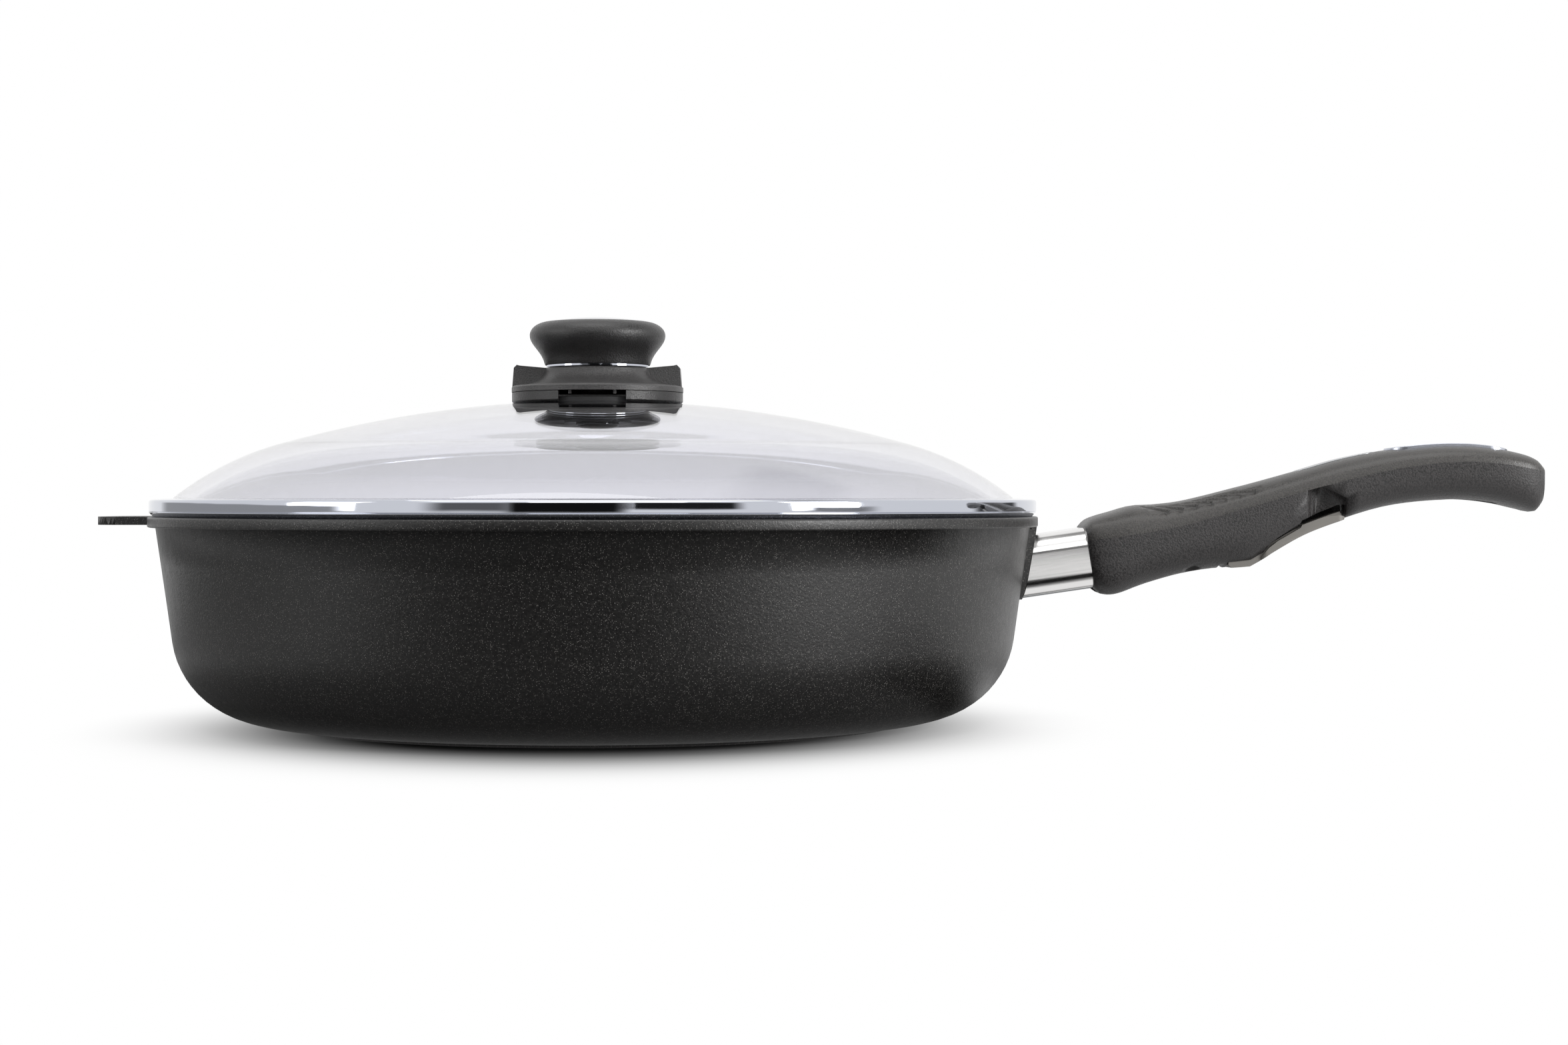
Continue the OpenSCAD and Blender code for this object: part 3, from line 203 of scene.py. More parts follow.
def rounded(outline, steps):
    """A closed outline of (across, up, radius) corners as points, with an arc where there is a radius."""
    points = []
    for i, (x, y, radius) in enumerate(outline):
        corner = Vector((x, y))
        before = Vector(outline[i - 1][:2]) - corner
        after = Vector(outline[(i + 1) % len(outline)][:2]) - corner
        if radius <= 0:
            points.append(tuple(corner))
            continue
        half = before.angle(after) / 2
        reach = min(radius / math.tan(half), ARC_SHARE * before.length, ARC_SHARE * after.length)
        first, last = corner + before.normalized() * reach, corner + after.normalized() * reach
        middle = corner + (before.normalized() + after.normalized()).normalized() * reach / math.cos(half)
        first_arm, last_arm = first - middle, last - middle
        sweep = first_arm.angle_signed(last_arm)
        points += [tuple(middle + Matrix.Rotation(-sweep * k / steps, 2) @ first_arm)
                   for k in range(steps + 1)]
    return points


def spun(outline, steps):
    """A bmesh turned round Z from a closed outline of (radius, height) points."""
    bm = bmesh.new()
    verts = [bm.verts.new((radius, 0, height)) for radius, height in outline]
    edges = [bm.edges.new(pair) for pair in zip(verts, verts[1:] + verts[:1])
             if pair[0].co.x > 0 or pair[1].co.x > 0]
    bmesh.ops.spin(bm, geom=verts + edges, cent=(0, 0, 0), axis=(0, 0, 1), angle=2 * math.pi,
                   steps=steps, use_merge=True)
    bmesh.ops.remove_doubles(bm, verts=bm.verts, dist=TURNED_MERGE)
    bmesh.ops.recalc_face_normals(bm, faces=bm.faces)
    return bm


def put(piece, finish, body, slot, *nodes):
    """Gives a piece its material and its body, and lets it stand for CAD nodes. Its slot is not used."""
    piece.data.materials.clear()
    piece.data.materials.append(finish)
    if body:
        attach(piece, body)
    if nodes:
        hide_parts(*nodes)
    return piece


# Materials

def sprayed_coating():
    """Sprayed non-stick coating on cast aluminium: near-black and satin, with fine metal flakes."""
    colours = bpy.context.scene.pan_colours
    made, tree, place, shader = finish_on("Sprayed_coating", IOR=1.5)
    # Flakes up to 0.23 mm wide in cells of 0.38 mm, a little coarser than real ones, so that they show
    cell_size, flake_radius_in_cells = 0.38, 0.3
    cells = node(tree, "ShaderNodeTexVoronoi", {"Vector": place, "Scale": per_mm(cell_size)})
    near = node(tree, "ShaderNodeMath", {0: cells.outputs["Distance"], 1: flake_radius_in_cells},
                operation="LESS_THAN")
    # Half of the cells have a flake, each with its own brightness
    chance = node(tree, "ShaderNodeSeparateColor", {"Color": cells.outputs["Color"]}).outputs["Red"]
    bright = node(tree, "ShaderNodeMapRange", {"Value": chance, "From Min": 0.5, "From Max": 1.0})
    flake = node(tree, "ShaderNodeMath", {0: near, 1: bright}, operation="MULTIPLY")
    spray = node(tree, "ShaderNodeTexNoise",
                 {"Vector": place, "Scale": per_mm(0.8), "Detail": 2, "Roughness": 0.6})
    grain = node(tree, "ShaderNodeMapRange", {"Value": spray, "From Min": NOISE_LOW, "From Max": NOISE_HIGH})
    ground = node(tree, "ShaderNodeMix",
                  {FACTOR: grain, FIRST: linear("#0c0b0b"), SECOND: tuple(colours.coating)}, data_type="RGBA")
    colour = node(tree, "ShaderNodeMix",
                  {FACTOR: flake, FIRST: ground.outputs[MIXED], SECOND: tuple(colours.flake)},
                  data_type="RGBA")
    link(tree, colour.outputs[MIXED], shader, "Base Color")
    patches = node(tree, "ShaderNodeTexNoise", {"Vector": place, "Scale": per_mm(2.5), "Detail": 4})
    gloss = node(tree, "ShaderNodeMapRange", {"Value": patches, "To Min": 0.34, "To Max": 0.46})
    link(tree, gloss, shader, "Roughness")
    relief = node(tree, "ShaderNodeBump", {"Height": grain, "Distance": 0.035 * MM, "Strength": 0.8})
    link(tree, relief, shader, "Normal")
    return made


def spun_steel():
    """Stainless disc faced on a lathe: concentric tool lines every 0.3 mm, which fan the light out."""
    made, tree, place, shader = finish_on("Spun_steel", Metallic=1.0)
    shader.inputs["Base Color"].default_value = linear("#b4b5b7")
    flat = node(tree, "ShaderNodeVectorMath", {0: place, 1: (1, 1, 0)}, operation="MULTIPLY")
    radius = node(tree, "ShaderNodeVectorMath", {0: flat}, operation="LENGTH").outputs["Value"]
    lines = node(tree, "ShaderNodeTexNoise", {"W": radius, "Scale": per_mm(0.3), "Detail": 2},
                 noise_dimensions="1D")
    gloss = node(tree, "ShaderNodeMapRange", {"Value": lines, "To Min": 0.24, "To Max": 0.42})
    link(tree, gloss, shader, "Roughness")
    relief = node(tree, "ShaderNodeBump", {"Height": lines, "Distance": 0.01 * MM, "Strength": 0.6})
    link(tree, relief, shader, "Normal")
    return made


def tempered_glass():
    """Pressed and tempered soda-lime glass: clear, faintly grey, with a slight waviness from the mould."""
    made, tree, place, shader = finish_on("Tempered_glass", Transmission_Weight=1.0, IOR=1.5, Roughness=0.0)
    shader.inputs["Base Color"].default_value = tuple(bpy.context.scene.pan_colours.glass)
    waves = node(tree, "ShaderNodeTexNoise", {"Vector": place, "Scale": per_mm(45), "Detail": 1})
    relief = node(tree, "ShaderNodeBump", {"Height": waves, "Distance": 0.03 * MM, "Strength": 0.4})
    link(tree, relief, shader, "Normal")
    return made


def polished_stainless(name, colour, wave, low_rough, high_rough):
    """Mirror-polished stainless sheet: sharp reflections, a slight waviness and a fine buffing haze."""
    made, tree, place, shader = finish_on(name, Metallic=1.0)
    shader.inputs["Base Color"].default_value = tuple(colour)
    haze = node(tree, "ShaderNodeTexNoise",
                {"Vector": place, "Scale": per_mm(6), "Detail": 4, "Roughness": 0.7})
    gloss = node(tree, "ShaderNodeMapRange", {"Value": haze, "To Min": low_rough, "To Max": high_rough})
    link(tree, gloss, shader, "Roughness")
    waves = node(tree, "ShaderNodeTexNoise", {"Vector": place, "Scale": per_mm(14), "Detail": 1})
    relief = node(tree, "ShaderNodeBump", {"Height": waves, "Distance": wave * MM, "Strength": 1.0})
    link(tree, relief, shader, "Normal")
    return made


def satin_stainless():
    """Stainless fasteners and springs, tumbled to an even satin that blurs what it mirrors."""
    made, tree, place, shader = finish_on("Satin_stainless", Metallic=1.0)
    shader.inputs["Base Color"].default_value = linear("#a9abad")
    grain = node(tree, "ShaderNodeTexNoise", {"Vector": place, "Scale": per_mm(0.25), "Detail": 2})
    gloss = node(tree, "ShaderNodeMapRange", {"Value": grain, "To Min": 0.26, "To Max": 0.4})
    link(tree, gloss, shader, "Roughness")
    relief = node(tree, "ShaderNodeBump", {"Height": grain, "Distance": 0.006 * MM, "Strength": 0.6})
    link(tree, relief, shader, "Normal")
    return made


def brushed_stainless():
    """Stainless tube brushed along its length: fine lines 0.12 mm apart and about 12 mm long."""
    made, tree, place, shader = finish_on("Brushed_stainless", Metallic=1.0)
    shader.inputs["Base Color"].default_value = tuple(bpy.context.scene.pan_colours.ferrule)
    rise = bpy.context.scene.pan_sizes.handle_rise
    line_length, line_width = 12, 0.12
    turned = node(tree, "ShaderNodeVectorRotate", {"Vector": place, "Angle": rise}, rotation_type="Y_AXIS")
    drawn = node(tree, "ShaderNodeMapping",
                 {"Vector": turned, "Scale": (per_mm(line_length), per_mm(line_width), per_mm(line_width))})
    lines = node(tree, "ShaderNodeTexNoise", {"Vector": drawn, "Scale": 1.0, "Detail": 2})
    gloss = node(tree, "ShaderNodeMapRange", {"Value": lines, "To Min": 0.13, "To Max": 0.24})
    link(tree, gloss, shader, "Roughness")
    relief = node(tree, "ShaderNodeBump", {"Height": lines, "Distance": 0.008 * MM, "Strength": 0.5})
    link(tree, relief, shader, "Normal")
    return made


def turned_brass():
    """Free-cutting brass, turned: a yellow metal with an uneven sheen, inside the knob."""
    made, tree, place, shader = finish_on("Turned_brass", Metallic=1.0)
    shader.inputs["Base Color"].default_value = linear("#b08d4a")
    marks = node(tree, "ShaderNodeTexNoise", {"Vector": place, "Scale": per_mm(0.4), "Detail": 2})
    gloss = node(tree, "ShaderNodeMapRange", {"Value": marks, "To Min": 0.24, "To Max": 0.38})
    link(tree, gloss, shader, "Roughness")
    return made


def silicone():
    """Moulded black silicone: matte, with a soft bloom."""
    made, tree, place, shader = finish_on("Moulded_silicone", IOR=1.43)
    bloom = node(tree, "ShaderNodeTexNoise", {"Vector": place, "Scale": per_mm(8), "Detail": 3})
    colour = node(tree, "ShaderNodeMix",
                  {FACTOR: bloom, FIRST: linear("#1f1f20"), SECOND: linear("#2c2c2d")}, data_type="RGBA")
    link(tree, colour.outputs[MIXED], shader, "Base Color")
    patches = node(tree, "ShaderNodeTexNoise", {"Vector": place, "Scale": per_mm(1.5), "Detail": 3})
    gloss = node(tree, "ShaderNodeMapRange", {"Value": patches, "To Min": 0.5, "To Max": 0.66})
    link(tree, gloss, shader, "Roughness")
    skin = node(tree, "ShaderNodeTexNoise", {"Vector": place, "Scale": per_mm(0.4), "Detail": 2})
    relief = node(tree, "ShaderNodeBump", {"Height": skin, "Distance": 0.01 * MM, "Strength": 0.5})
    link(tree, relief, shader, "Normal")
    return made


def moulded_phenolic(name, colour, grain, depth, painted_grain_shade, low_rough, high_rough):
    """Phenolic moulded in a spark-eroded tool: an even grain that scatters the light in fine specks, with
    painted light and shade on the grain.
    """
    made, tree, place, shader = finish_on(name, IOR=1.5)
    sparks = node(tree, "ShaderNodeTexNoise",
                  {"Vector": place, "Scale": per_mm(grain), "Detail": 2, "Roughness": 0.6})
    skin = node(tree, "ShaderNodeMapRange", {"Value": sparks, "From Min": NOISE_LOW, "From Max": NOISE_HIGH})
    # Painted light and shade on the grain: its tops are painted lighter and its hollows darker
    mottled = node(tree, "ShaderNodeMix",
                   {FACTOR: skin, FIRST: scaled(colour, 1 - painted_grain_shade), SECOND: scaled(colour, 1 + painted_grain_shade)},
                   data_type="RGBA")
    link(tree, mottled.outputs[MIXED], shader, "Base Color")
    gloss = node(tree, "ShaderNodeMapRange", {"Value": skin, "To Min": low_rough, "To Max": high_rough})
    link(tree, gloss, shader, "Roughness")
    relief = node(tree, "ShaderNodeBump", {"Height": skin, "Distance": depth * MM, "Strength": 0.9})
    link(tree, relief, shader, "Normal")
    return made


def satin_nylon():
    """Filled nylon with a satin tool finish: warm grey, faintly mottled."""
    made, tree, place, shader = finish_on("Satin_nylon", IOR=1.45)
    colour = tuple(bpy.context.scene.pan_colours.trigger)
    filler = node(tree, "ShaderNodeTexNoise", {"Vector": place, "Scale": per_mm(9), "Detail": 3})
    mottled = node(tree, "ShaderNodeMix", {FACTOR: filler, FIRST: scaled(colour, 0.9), SECOND: colour},
                   data_type="RGBA")
    link(tree, mottled.outputs[MIXED], shader, "Base Color")
    skin = node(tree, "ShaderNodeTexNoise", {"Vector": place, "Scale": per_mm(0.3), "Detail": 2})
    gloss = node(tree, "ShaderNodeMapRange", {"Value": skin, "To Min": 0.45, "To Max": 0.6})
    link(tree, gloss, shader, "Roughness")
    relief = node(tree, "ShaderNodeBump", {"Height": skin, "Distance": 0.012 * MM, "Strength": 0.6})
    link(tree, relief, shader, "Normal")
    return made


# Sizes and colours

class PanSizes(bpy.types.PropertyGroup):
    """Sizes of the pieces that are modelled here"""
    glass_thickness: FloatProperty(name="Glass thickness", description="Thickness of the lid's glass",
                                   default=4 * MM, min=2 * MM, max=6 * MM, unit="LENGTH")
    shoulder_slope: FloatProperty(name="Shoulder slope", description="Slope of the glass at its shoulder",
                                  default=math.radians(16), min=math.radians(10), max=math.radians(25),
                                  subtype="ANGLE")
    rim_slope: FloatProperty(name="Rim slope", description="Slope of the glass at the steel rim",
                             default=math.radians(39.8), min=math.radians(30), max=math.radians(50),
                             subtype="ANGLE")
    rim_sheet: FloatProperty(name="Rim sheet", description="Sheet thickness of the lid's steel rim",
                             default=0.6 * MM, min=0.3 * MM, max=1 * MM, unit="LENGTH")
    rim_width: FloatProperty(name="Rim width", description="Width of the rim's top",
                             default=6.8 * MM, min=5 * MM, max=9 * MM, unit="LENGTH")
    skirt_inset: FloatProperty(name="Skirt inset", description="How far the rim's skirt is inside its edge",
                               default=7.22 * MM, min=6 * MM, max=9 * MM, unit="LENGTH")
    handle_rise: FloatProperty(name="Handle rise", description="Angle of the ferrule above level",
                               default=math.radians(8.3), min=0, max=math.radians(20), subtype="ANGLE")
    turns: IntProperty(name="Turning steps", description="Faces round the lid's glass and its rim",
                       default=192, min=48, max=512)


class PanColours(bpy.types.PropertyGroup):
    """Colours of the finishes"""
    coating: FloatVectorProperty(name="Coating", description="Non-stick coating inside and outside the pan",
                                 subtype="COLOR", size=4, min=0, max=1, default=linear("#1c1b1a"))
    flake: FloatVectorProperty(name="Flake", description="Metal flakes in the coating",
                               subtype="COLOR", size=4, min=0, max=1, default=linear("#807d7a"))
    glass: FloatVectorProperty(name="Glass", description="Tint of the lid's glass",
                               subtype="COLOR", size=4, min=0, max=1, default=linear("#f2f2f7"))
    rim: FloatVectorProperty(name="Rim steel", description="Steel of the lid's rim, neck ring and inlay",
                             subtype="COLOR", size=4, min=0, max=1, default=linear("#c3c6cf"))
    polished: FloatVectorProperty(name="Polished steel", description="Steel of the knob's disc",
                                  subtype="COLOR", size=4, min=0, max=1, default=linear("#d9dadc"))
    ferrule: FloatVectorProperty(name="Brushed steel", description="Ferrule between pan and grip",
                                 subtype="COLOR", size=4, min=0, max=1, default=linear("#ebeae9"))
    knob: FloatVectorProperty(name="Knob", description="Phenolic of the knob and its base ring",
                              subtype="COLOR", size=4, min=0, max=1, default=linear("#201f1f"))
    collar: FloatVectorProperty(name="Collar", description="Phenolic of the winged vent collar",
                                subtype="COLOR", size=4, min=0, max=1, default=linear("#3b3a3a"))
    grip_lower: FloatVectorProperty(name="Lower grip", description="Coarse phenolic under the grip's seam",
                                    subtype="COLOR", size=4, min=0, max=1, default=linear("#2b2929"))
    grip_upper: FloatVectorProperty(name="Upper grip", description="Finer phenolic over the grip's seam",
                                    subtype="COLOR", size=4, min=0, max=1, default=linear("#393735"))
    trigger: FloatVectorProperty(name="Trigger", description="Warm grey nylon of the release trigger",
                                 subtype="COLOR", size=4, min=0, max=1, default=linear("#7f7c77"))


# Pieces

def studio_floor():
    """A near-white floor that keeps the pan's shadow, adds a painted shadow near the foot, fades to white
    round it and is clear from below.
    """
    floor_radius, floor_drop = 6, 0.02 * MM
    bm = bmesh.new()
    bmesh.ops.create_circle(bm, cap_ends=True, segments=96, radius=floor_radius)
    bmesh.ops.translate(bm, verts=bm.verts, vec=(0, 0, -floor_drop))
    floor = piece_from(bm, "floor")
    made, tree, place, shader = finish_on("Paper_floor", Roughness=0.9, IOR=1.3)
    path = node(tree, "ShaderNodeLightPath").outputs
    seen = node(tree, "ShaderNodeMath", {0: path["Is Camera Ray"], 1: path["Is Transmission Ray"]},
                operation="MAXIMUM")
    # The real shadow is kept, and a painted shadow laid, on an oval that is narrower across and lies a little
    # to the front
    squeeze, forward = 1.15, 0.03
    oval = node(tree, "ShaderNodeVectorMath", {0: place, 1: (squeeze, 1, 1), 2: (0, forward, 0)},
                operation="MULTIPLY_ADD")
    # Each fade goes from 0 to 1 between two distances, in metres, from the middle of the foot
    fades = {}
    for name, spot, near, far in (("white", oval, 0.085, 0.2), ("mirrored", place, 0.15, 0.27),
                                  ("painted_shadow_to_pale", oval, 0.08, 0.19), ("foot", place, 0.13, 0.1)):
        away = node(tree, "ShaderNodeVectorMath", {0: spot}, operation="LENGTH").outputs["Value"]
        fades[name] = node(tree, "ShaderNodeMapRange", {"Value": away, "From Min": near, "From Max": far},
                           interpolation_type="SMOOTHSTEP")
    # Seen by the camera: a painted shadow, dark grey near the foot and fading to near white away from it. To
    # other rays: grey, as a source of light from below
    painted_shadow_to_pale = node(tree, "ShaderNodeMix",
                {FACTOR: fades["painted_shadow_to_pale"], FIRST: linear("#5e5e5e"), SECOND: linear("#f6f6f6")},
                data_type="RGBA")
    colour = node(tree, "ShaderNodeMix",
                  {FACTOR: seen, FIRST: linear("#808080"), SECOND: painted_shadow_to_pale.outputs[MIXED]}, data_type="RGBA")
    link(tree, colour.outputs[MIXED], shader, "Base Color")
    glow = node(tree, "ShaderNodeMath", {0: seen, 1: fades["white"]}, operation="MULTIPLY")
    # White in reflections far off and, more weakly, a painted reflection close under the foot, which paints a
    # light line along the pan's lower edge
    painted_glint_strength = 0.3
    mirrored = node(tree, "ShaderNodeMath", {0: fades["foot"], 1: painted_glint_strength, 2: fades["mirrored"]},
                    operation="MULTIPLY_ADD")
    glow = node(tree, "ShaderNodeMath", {0: path["Is Glossy Ray"], 1: mirrored, 2: glow},
                operation="MULTIPLY_ADD")
    white = node(tree, "ShaderNodeEmission", {"Color": (1, 1, 1, 1), "Strength": 1.0})
    above = node(tree, "ShaderNodeMixShader", {0: glow, 1: shader, 2: white})
    # The floor is clear from below, so that the pan's base can be seen
    behind = node(tree, "ShaderNodeNewGeometry").outputs["Backfacing"]
    clear = node(tree, "ShaderNodeBsdfTransparent")
    surface = node(tree, "ShaderNodeMixShader", {0: behind, 1: above, 2: clear})
    link(tree, surface, tree.nodes["Material Output"], "Surface")
    floor.data.materials.append(made)


def studio_world():
    """White where the camera, metal and glass see it, and a dim grey as light."""
    world = bpy.data.worlds.new("Studio")
    world.use_nodes = True
    bpy.context.scene.world = world
    tree = world.node_tree
    path = node(tree, "ShaderNodeLightPath").outputs
    glossy = node(tree, "ShaderNodeMath", {0: path["Is Camera Ray"], 1: path["Is Glossy Ray"]},
                  operation="MAXIMUM")
    seen = node(tree, "ShaderNodeMath", {0: glossy, 1: path["Is Transmission Ray"]}, operation="MAXIMUM")
    dim = node(tree, "ShaderNodeBackground", {"Color": (1, 1, 1, 1), "Strength": 0.45})
    white = node(tree, "ShaderNodeBackground", {"Color": (1, 1, 1, 1), "Strength": 1.0})
    surface = node(tree, "ShaderNodeMixShader", {0: seen, 1: dim, 2: white})
    link(tree, surface, tree.nodes["World Output"], "Surface")


def softbox(name, place, target, size, power):
    """A rectangular area light that points at a target, with its width and height in metres."""
    light = bpy.data.lights.new(name, "AREA")
    light.shape, light.energy = "RECTANGLE", power
    light.size, light.size_y = size
    lamp = bpy.data.objects.new(name, light)
    lamp.location = place
    lamp.rotation_euler = (Vector(target) - Vector(place)).to_track_quat("-Z", "Y").to_euler()
    bpy.context.scene.collection.objects.link(lamp)


def soft_card(name, place, target, size, grey, edge):
    """A card that only metal and gloss see, which fades out over a share of its size at each edge."""
    bm = bmesh.new()
    bm.loops.layers.uv.new("UVMap")
    bmesh.ops.create_grid(bm, x_segments=1, y_segments=1, size=0.5, calc_uvs=True)
    turn = (Vector(target) - Vector(place)).to_track_quat("Z", "Y").to_matrix().to_4x4()
    bmesh.ops.transform(bm, verts=bm.verts,
                        matrix=Matrix.Translation(place) @ turn @ Matrix.Diagonal((*size, 1, 1)))
    card = piece_from(bm, name)
    made = bpy.data.materials.new(name)
    made.use_nodes = True
    tree = made.node_tree
    own_uv = node(tree, "ShaderNodeUVMap").outputs["UV"]
    across = node(tree, "ShaderNodeSeparateXYZ", {"Vector": own_uv}).outputs
    cover = []
    for side in (across["X"], across["Y"]):
        inside = node(tree, "ShaderNodeMath", {0: side, 1: 1.0}, operation="PINGPONG")
        far = node(tree, "ShaderNodeMath", {0: 1.0, 1: inside}, operation="SUBTRACT")
        least = node(tree, "ShaderNodeMath", {0: inside, 1: far}, operation="MINIMUM")
        cover.append(node(tree, "ShaderNodeMapRange", {"Value": least, "From Max": edge},
                          interpolation_type="SMOOTHSTEP"))
    share = node(tree, "ShaderNodeMath", {0: cover[0], 1: cover[1]}, operation="MULTIPLY")
    glow = node(tree, "ShaderNodeEmission", {"Color": (grey, grey, grey, 1), "Strength": 1.0})
    clear = node(tree, "ShaderNodeBsdfTransparent")
    surface = node(tree, "ShaderNodeMixShader", {0: share, 1: clear, 2: glow})
    link(tree, surface, tree.nodes["Material Output"], "Surface")
    card.data.materials.append(made)
    card.visible_camera = card.visible_diffuse = card.visible_shadow = card.visible_transmission = False


def photo_camera():
    """The camera as fitted to the photograph: level, with the horizon a little above the middle."""
    data = bpy.data.cameras.new("Camera")
    data.sensor_fit, data.sensor_width = "HORIZONTAL", SENSOR_WIDTH
    data.lens = FOCAL_PIXELS / PHOTO_WIDTH * SENSOR_WIDTH
    data.shift_y = (HORIZON_PIXEL - PHOTO_HEIGHT / 2) / PHOTO_WIDTH
    data.clip_start, data.clip_end = 0.01, 50
    camera = bpy.data.objects.new("Camera", data)
    camera.location = CAMERA_PLACE
    camera.rotation_euler = (math.pi / 2, 0, 0)
    bpy.context.scene.collection.objects.link(camera)
    bpy.context.scene.camera = camera


def dome():
    """The lid's glass: a crown arc and a tighter shoulder arc, inside and outside, and a vent hole."""
    sizes = bpy.context.scene.pan_sizes
    low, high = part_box("lid_glass")
    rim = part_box("lid_rim")[1]
    knob_hole, vent_radius, vent_place, drill_length = 5 * MM, 2 * MM, 14.5 * MM, 20 * MM
    crown_steps, shoulder_steps = 30, 24
    start, end = sizes.shoulder_slope, sizes.rim_slope
    inner = rim.x - sizes.rim_width
    fall = high.z - rim.z + sizes.rim_sheet
    # The radii with which the arcs meet smoothly at the shoulder and reach the rim's inner edge
    run, rise = math.cos(start) - math.cos(end), math.sin(end) - math.sin(start)
    share = math.sin(start) * run - rise * (1 - math.cos(start))
    crown = (inner * run - fall * rise) / share
    shoulder = (fall * math.sin(start) - inner * (1 - math.cos(start))) / share
    crown_z = high.z - crown
    shoulder_x = (crown - shoulder) * math.sin(start)
    shoulder_z = crown_z + (crown - shoulder) * math.cos(start)

    def surface(slope, depth):
        """The point at this slope, this deep under the outer face."""
        if slope <= start:
            x, z, radius = 0, crown_z, crown - depth
        else:
            x, z, radius = shoulder_x, shoulder_z, shoulder - depth
        return x + radius * math.sin(slope), z + radius * math.cos(slope)

    outer_edge = math.asin((high.x - shoulder_x) / shoulder)
    inner_edge = math.acos((low.z - shoulder_z) / (shoulder - sizes.glass_thickness))
    arcs = []
    for depth, edge in ((0, outer_edge), (sizes.glass_thickness, inner_edge)):
        first = math.asin(knob_hole / (crown - depth))
        slopes = [first + (start - first) * i / crown_steps for i in range(crown_steps)]
        slopes += [start + (edge - start) * i / shoulder_steps for i in range(shoulder_steps + 1)]
        arcs.append([surface(slope, depth) for slope in slopes])
    outline = arcs[0] + [(high.x, low.z)] + arcs[1][::-1]
    glass = piece_from(spun(outline, sizes.turns), "lid_dome", GLASS_CREASE)
    drill = bmesh.new()
    bmesh.ops.create_cone(drill, cap_ends=True, segments=48, radius1=vent_radius, radius2=vent_radius,
                          depth=drill_length)
    bmesh.ops.translate(drill, verts=drill.verts, vec=(0, -vent_place, high.z))
    return combined(glass, piece_from(drill, "Vent_hole"), "DIFFERENCE", GLASS_CREASE)


def steel_rim():
    """The lid's rim: one sheet from the skirt, out over the lip, folded up and over the glass's edge."""
    sizes = bpy.context.scene.pan_sizes
    low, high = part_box("lid_rim")
    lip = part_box("pan_body")[1].z
    sheet, fold, fall = sizes.rim_sheet, 1.5 * MM, 0.5 * MM
    groove_depth, groove_middle, groove_top = 0.25 * MM, 0.18 * MM, 0.36 * MM
    hem, bend, fine, corner, shoulder = 0.2 * MM, 0.3 * MM, 0.1 * MM, 0.5 * MM, 0.9 * MM
    fold_edge, skirt_bend = 0.15 * MM, 0.6 * MM
    skirt = high.x - sizes.skirt_inset
    inner = high.x - sizes.rim_width
    folded = lip + fold
    outline = rounded([
        (skirt - sheet, low.z, hem), (skirt, low.z, hem), (skirt, lip, corner),
        (high.x - fold, lip, bend), (high.x, folded, fold_edge),
        (high.x - groove_depth, folded + groove_middle, 0), (high.x, folded + groove_top, fine),
        (high.x, high.z - fall, shoulder), (inner, high.z, bend),
        (inner, high.z - sheet, fine), (high.x - sheet, high.z - fall - sheet, corner),
        (high.x - sheet, folded + bend, bend), (high.x - fold - bend, lip + sheet, bend),
        (skirt - sheet, lip + sheet, skirt_bend)], steps=5)
    return piece_from(spun(outline, sizes.turns), "lid_rim_sheet", RIM_CREASE)


def knob_turning():
    """The knob's grip: a flared neck, a round upper edge and a shallow seat for the disc."""
    low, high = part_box("knob_grip")
    disc_low, disc_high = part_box("knob_disc")
    height = high.z - low.z
    neck, edge, brim = 17.6 * MM, 4.5 * MM, 0.25 * MM
    edge_z = high.z - edge
    # The side is a cubic curve, nearly upright at the neck and upright at the round edge. Its first steps
    # give way to the foot
    flare, neck_pull, edge_pull, first_step, side_steps = 1 * MM, 0.34, 0.24, 3, 24
    pulls = [(neck, low.z), (neck + flare, low.z + neck_pull * height),
             (high.x, edge_z - edge_pull * height), (high.x, edge_z)]
    side = []
    for i in range(first_step, side_steps + 1):
        t = i / side_steps
        weights = ((1 - t) ** 3, 3 * t * (1 - t) ** 2, 3 * t * t * (1 - t), t ** 3)
        side.append(tuple(sum(w * pull[k] for w, pull in zip(weights, pulls)) for k in range(2)))
    flat = high.x - disc_high.x - brim
    step = 6
    turns = [math.radians(angle) for angle in range(step, 90 + 1, step)]
    crown = [(high.x - flat * (1 - math.cos(turn)), edge_z + edge * math.sin(turn)) for turn in turns]
    insert_radius, insert_depth = 3.6 * MM, 8.6 * MM
    foot_radius, foot_flare, foot_height = 0.4 * MM, 0.3 * MM, 1.5 * MM
    foot = rounded([(insert_radius, low.z, 0), (neck, low.z, foot_radius),
                    (neck + foot_flare, low.z + foot_height, 0)], steps=3)[:-1]
    seat, seat_edge = disc_high.x + 0.05 * MM, 0.15 * MM
    seat_and_bore = [(seat, high.z - seat_edge), (seat, disc_low.z), (0, disc_low.z),
                     (0, low.z + insert_depth), (insert_radius, low.z + insert_depth)]
    return piece_from(spun(foot + side + crown + seat_and_bore, KNOB_TURNS), "knob_top", KNOB_CREASE)


def knob_cap():
    """The polished disc in the knob: a shallow dome with a broken edge."""
    low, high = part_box("knob_disc")
    rise, chamfer, chamfer_rise, steps = 1.6 * MM, 0.15 * MM, 0.02 * MM, 20
    crown = (high.x ** 2 + rise ** 2) / (2 * rise)
    edge = math.asin(high.x / crown)
    arc = [(crown * math.sin(edge * i / steps), high.z - crown + crown * math.cos(edge * i / steps))
           for i in range(steps)]
    side = [(0, low.z), (high.x, low.z), (high.x, high.z - rise - chamfer),
            (high.x - chamfer, high.z - rise + chamfer_rise)]
    return piece_from(spun(side + arc[::-1], KNOB_TURNS), "knob_cap", KNOB_CREASE)


# Operators

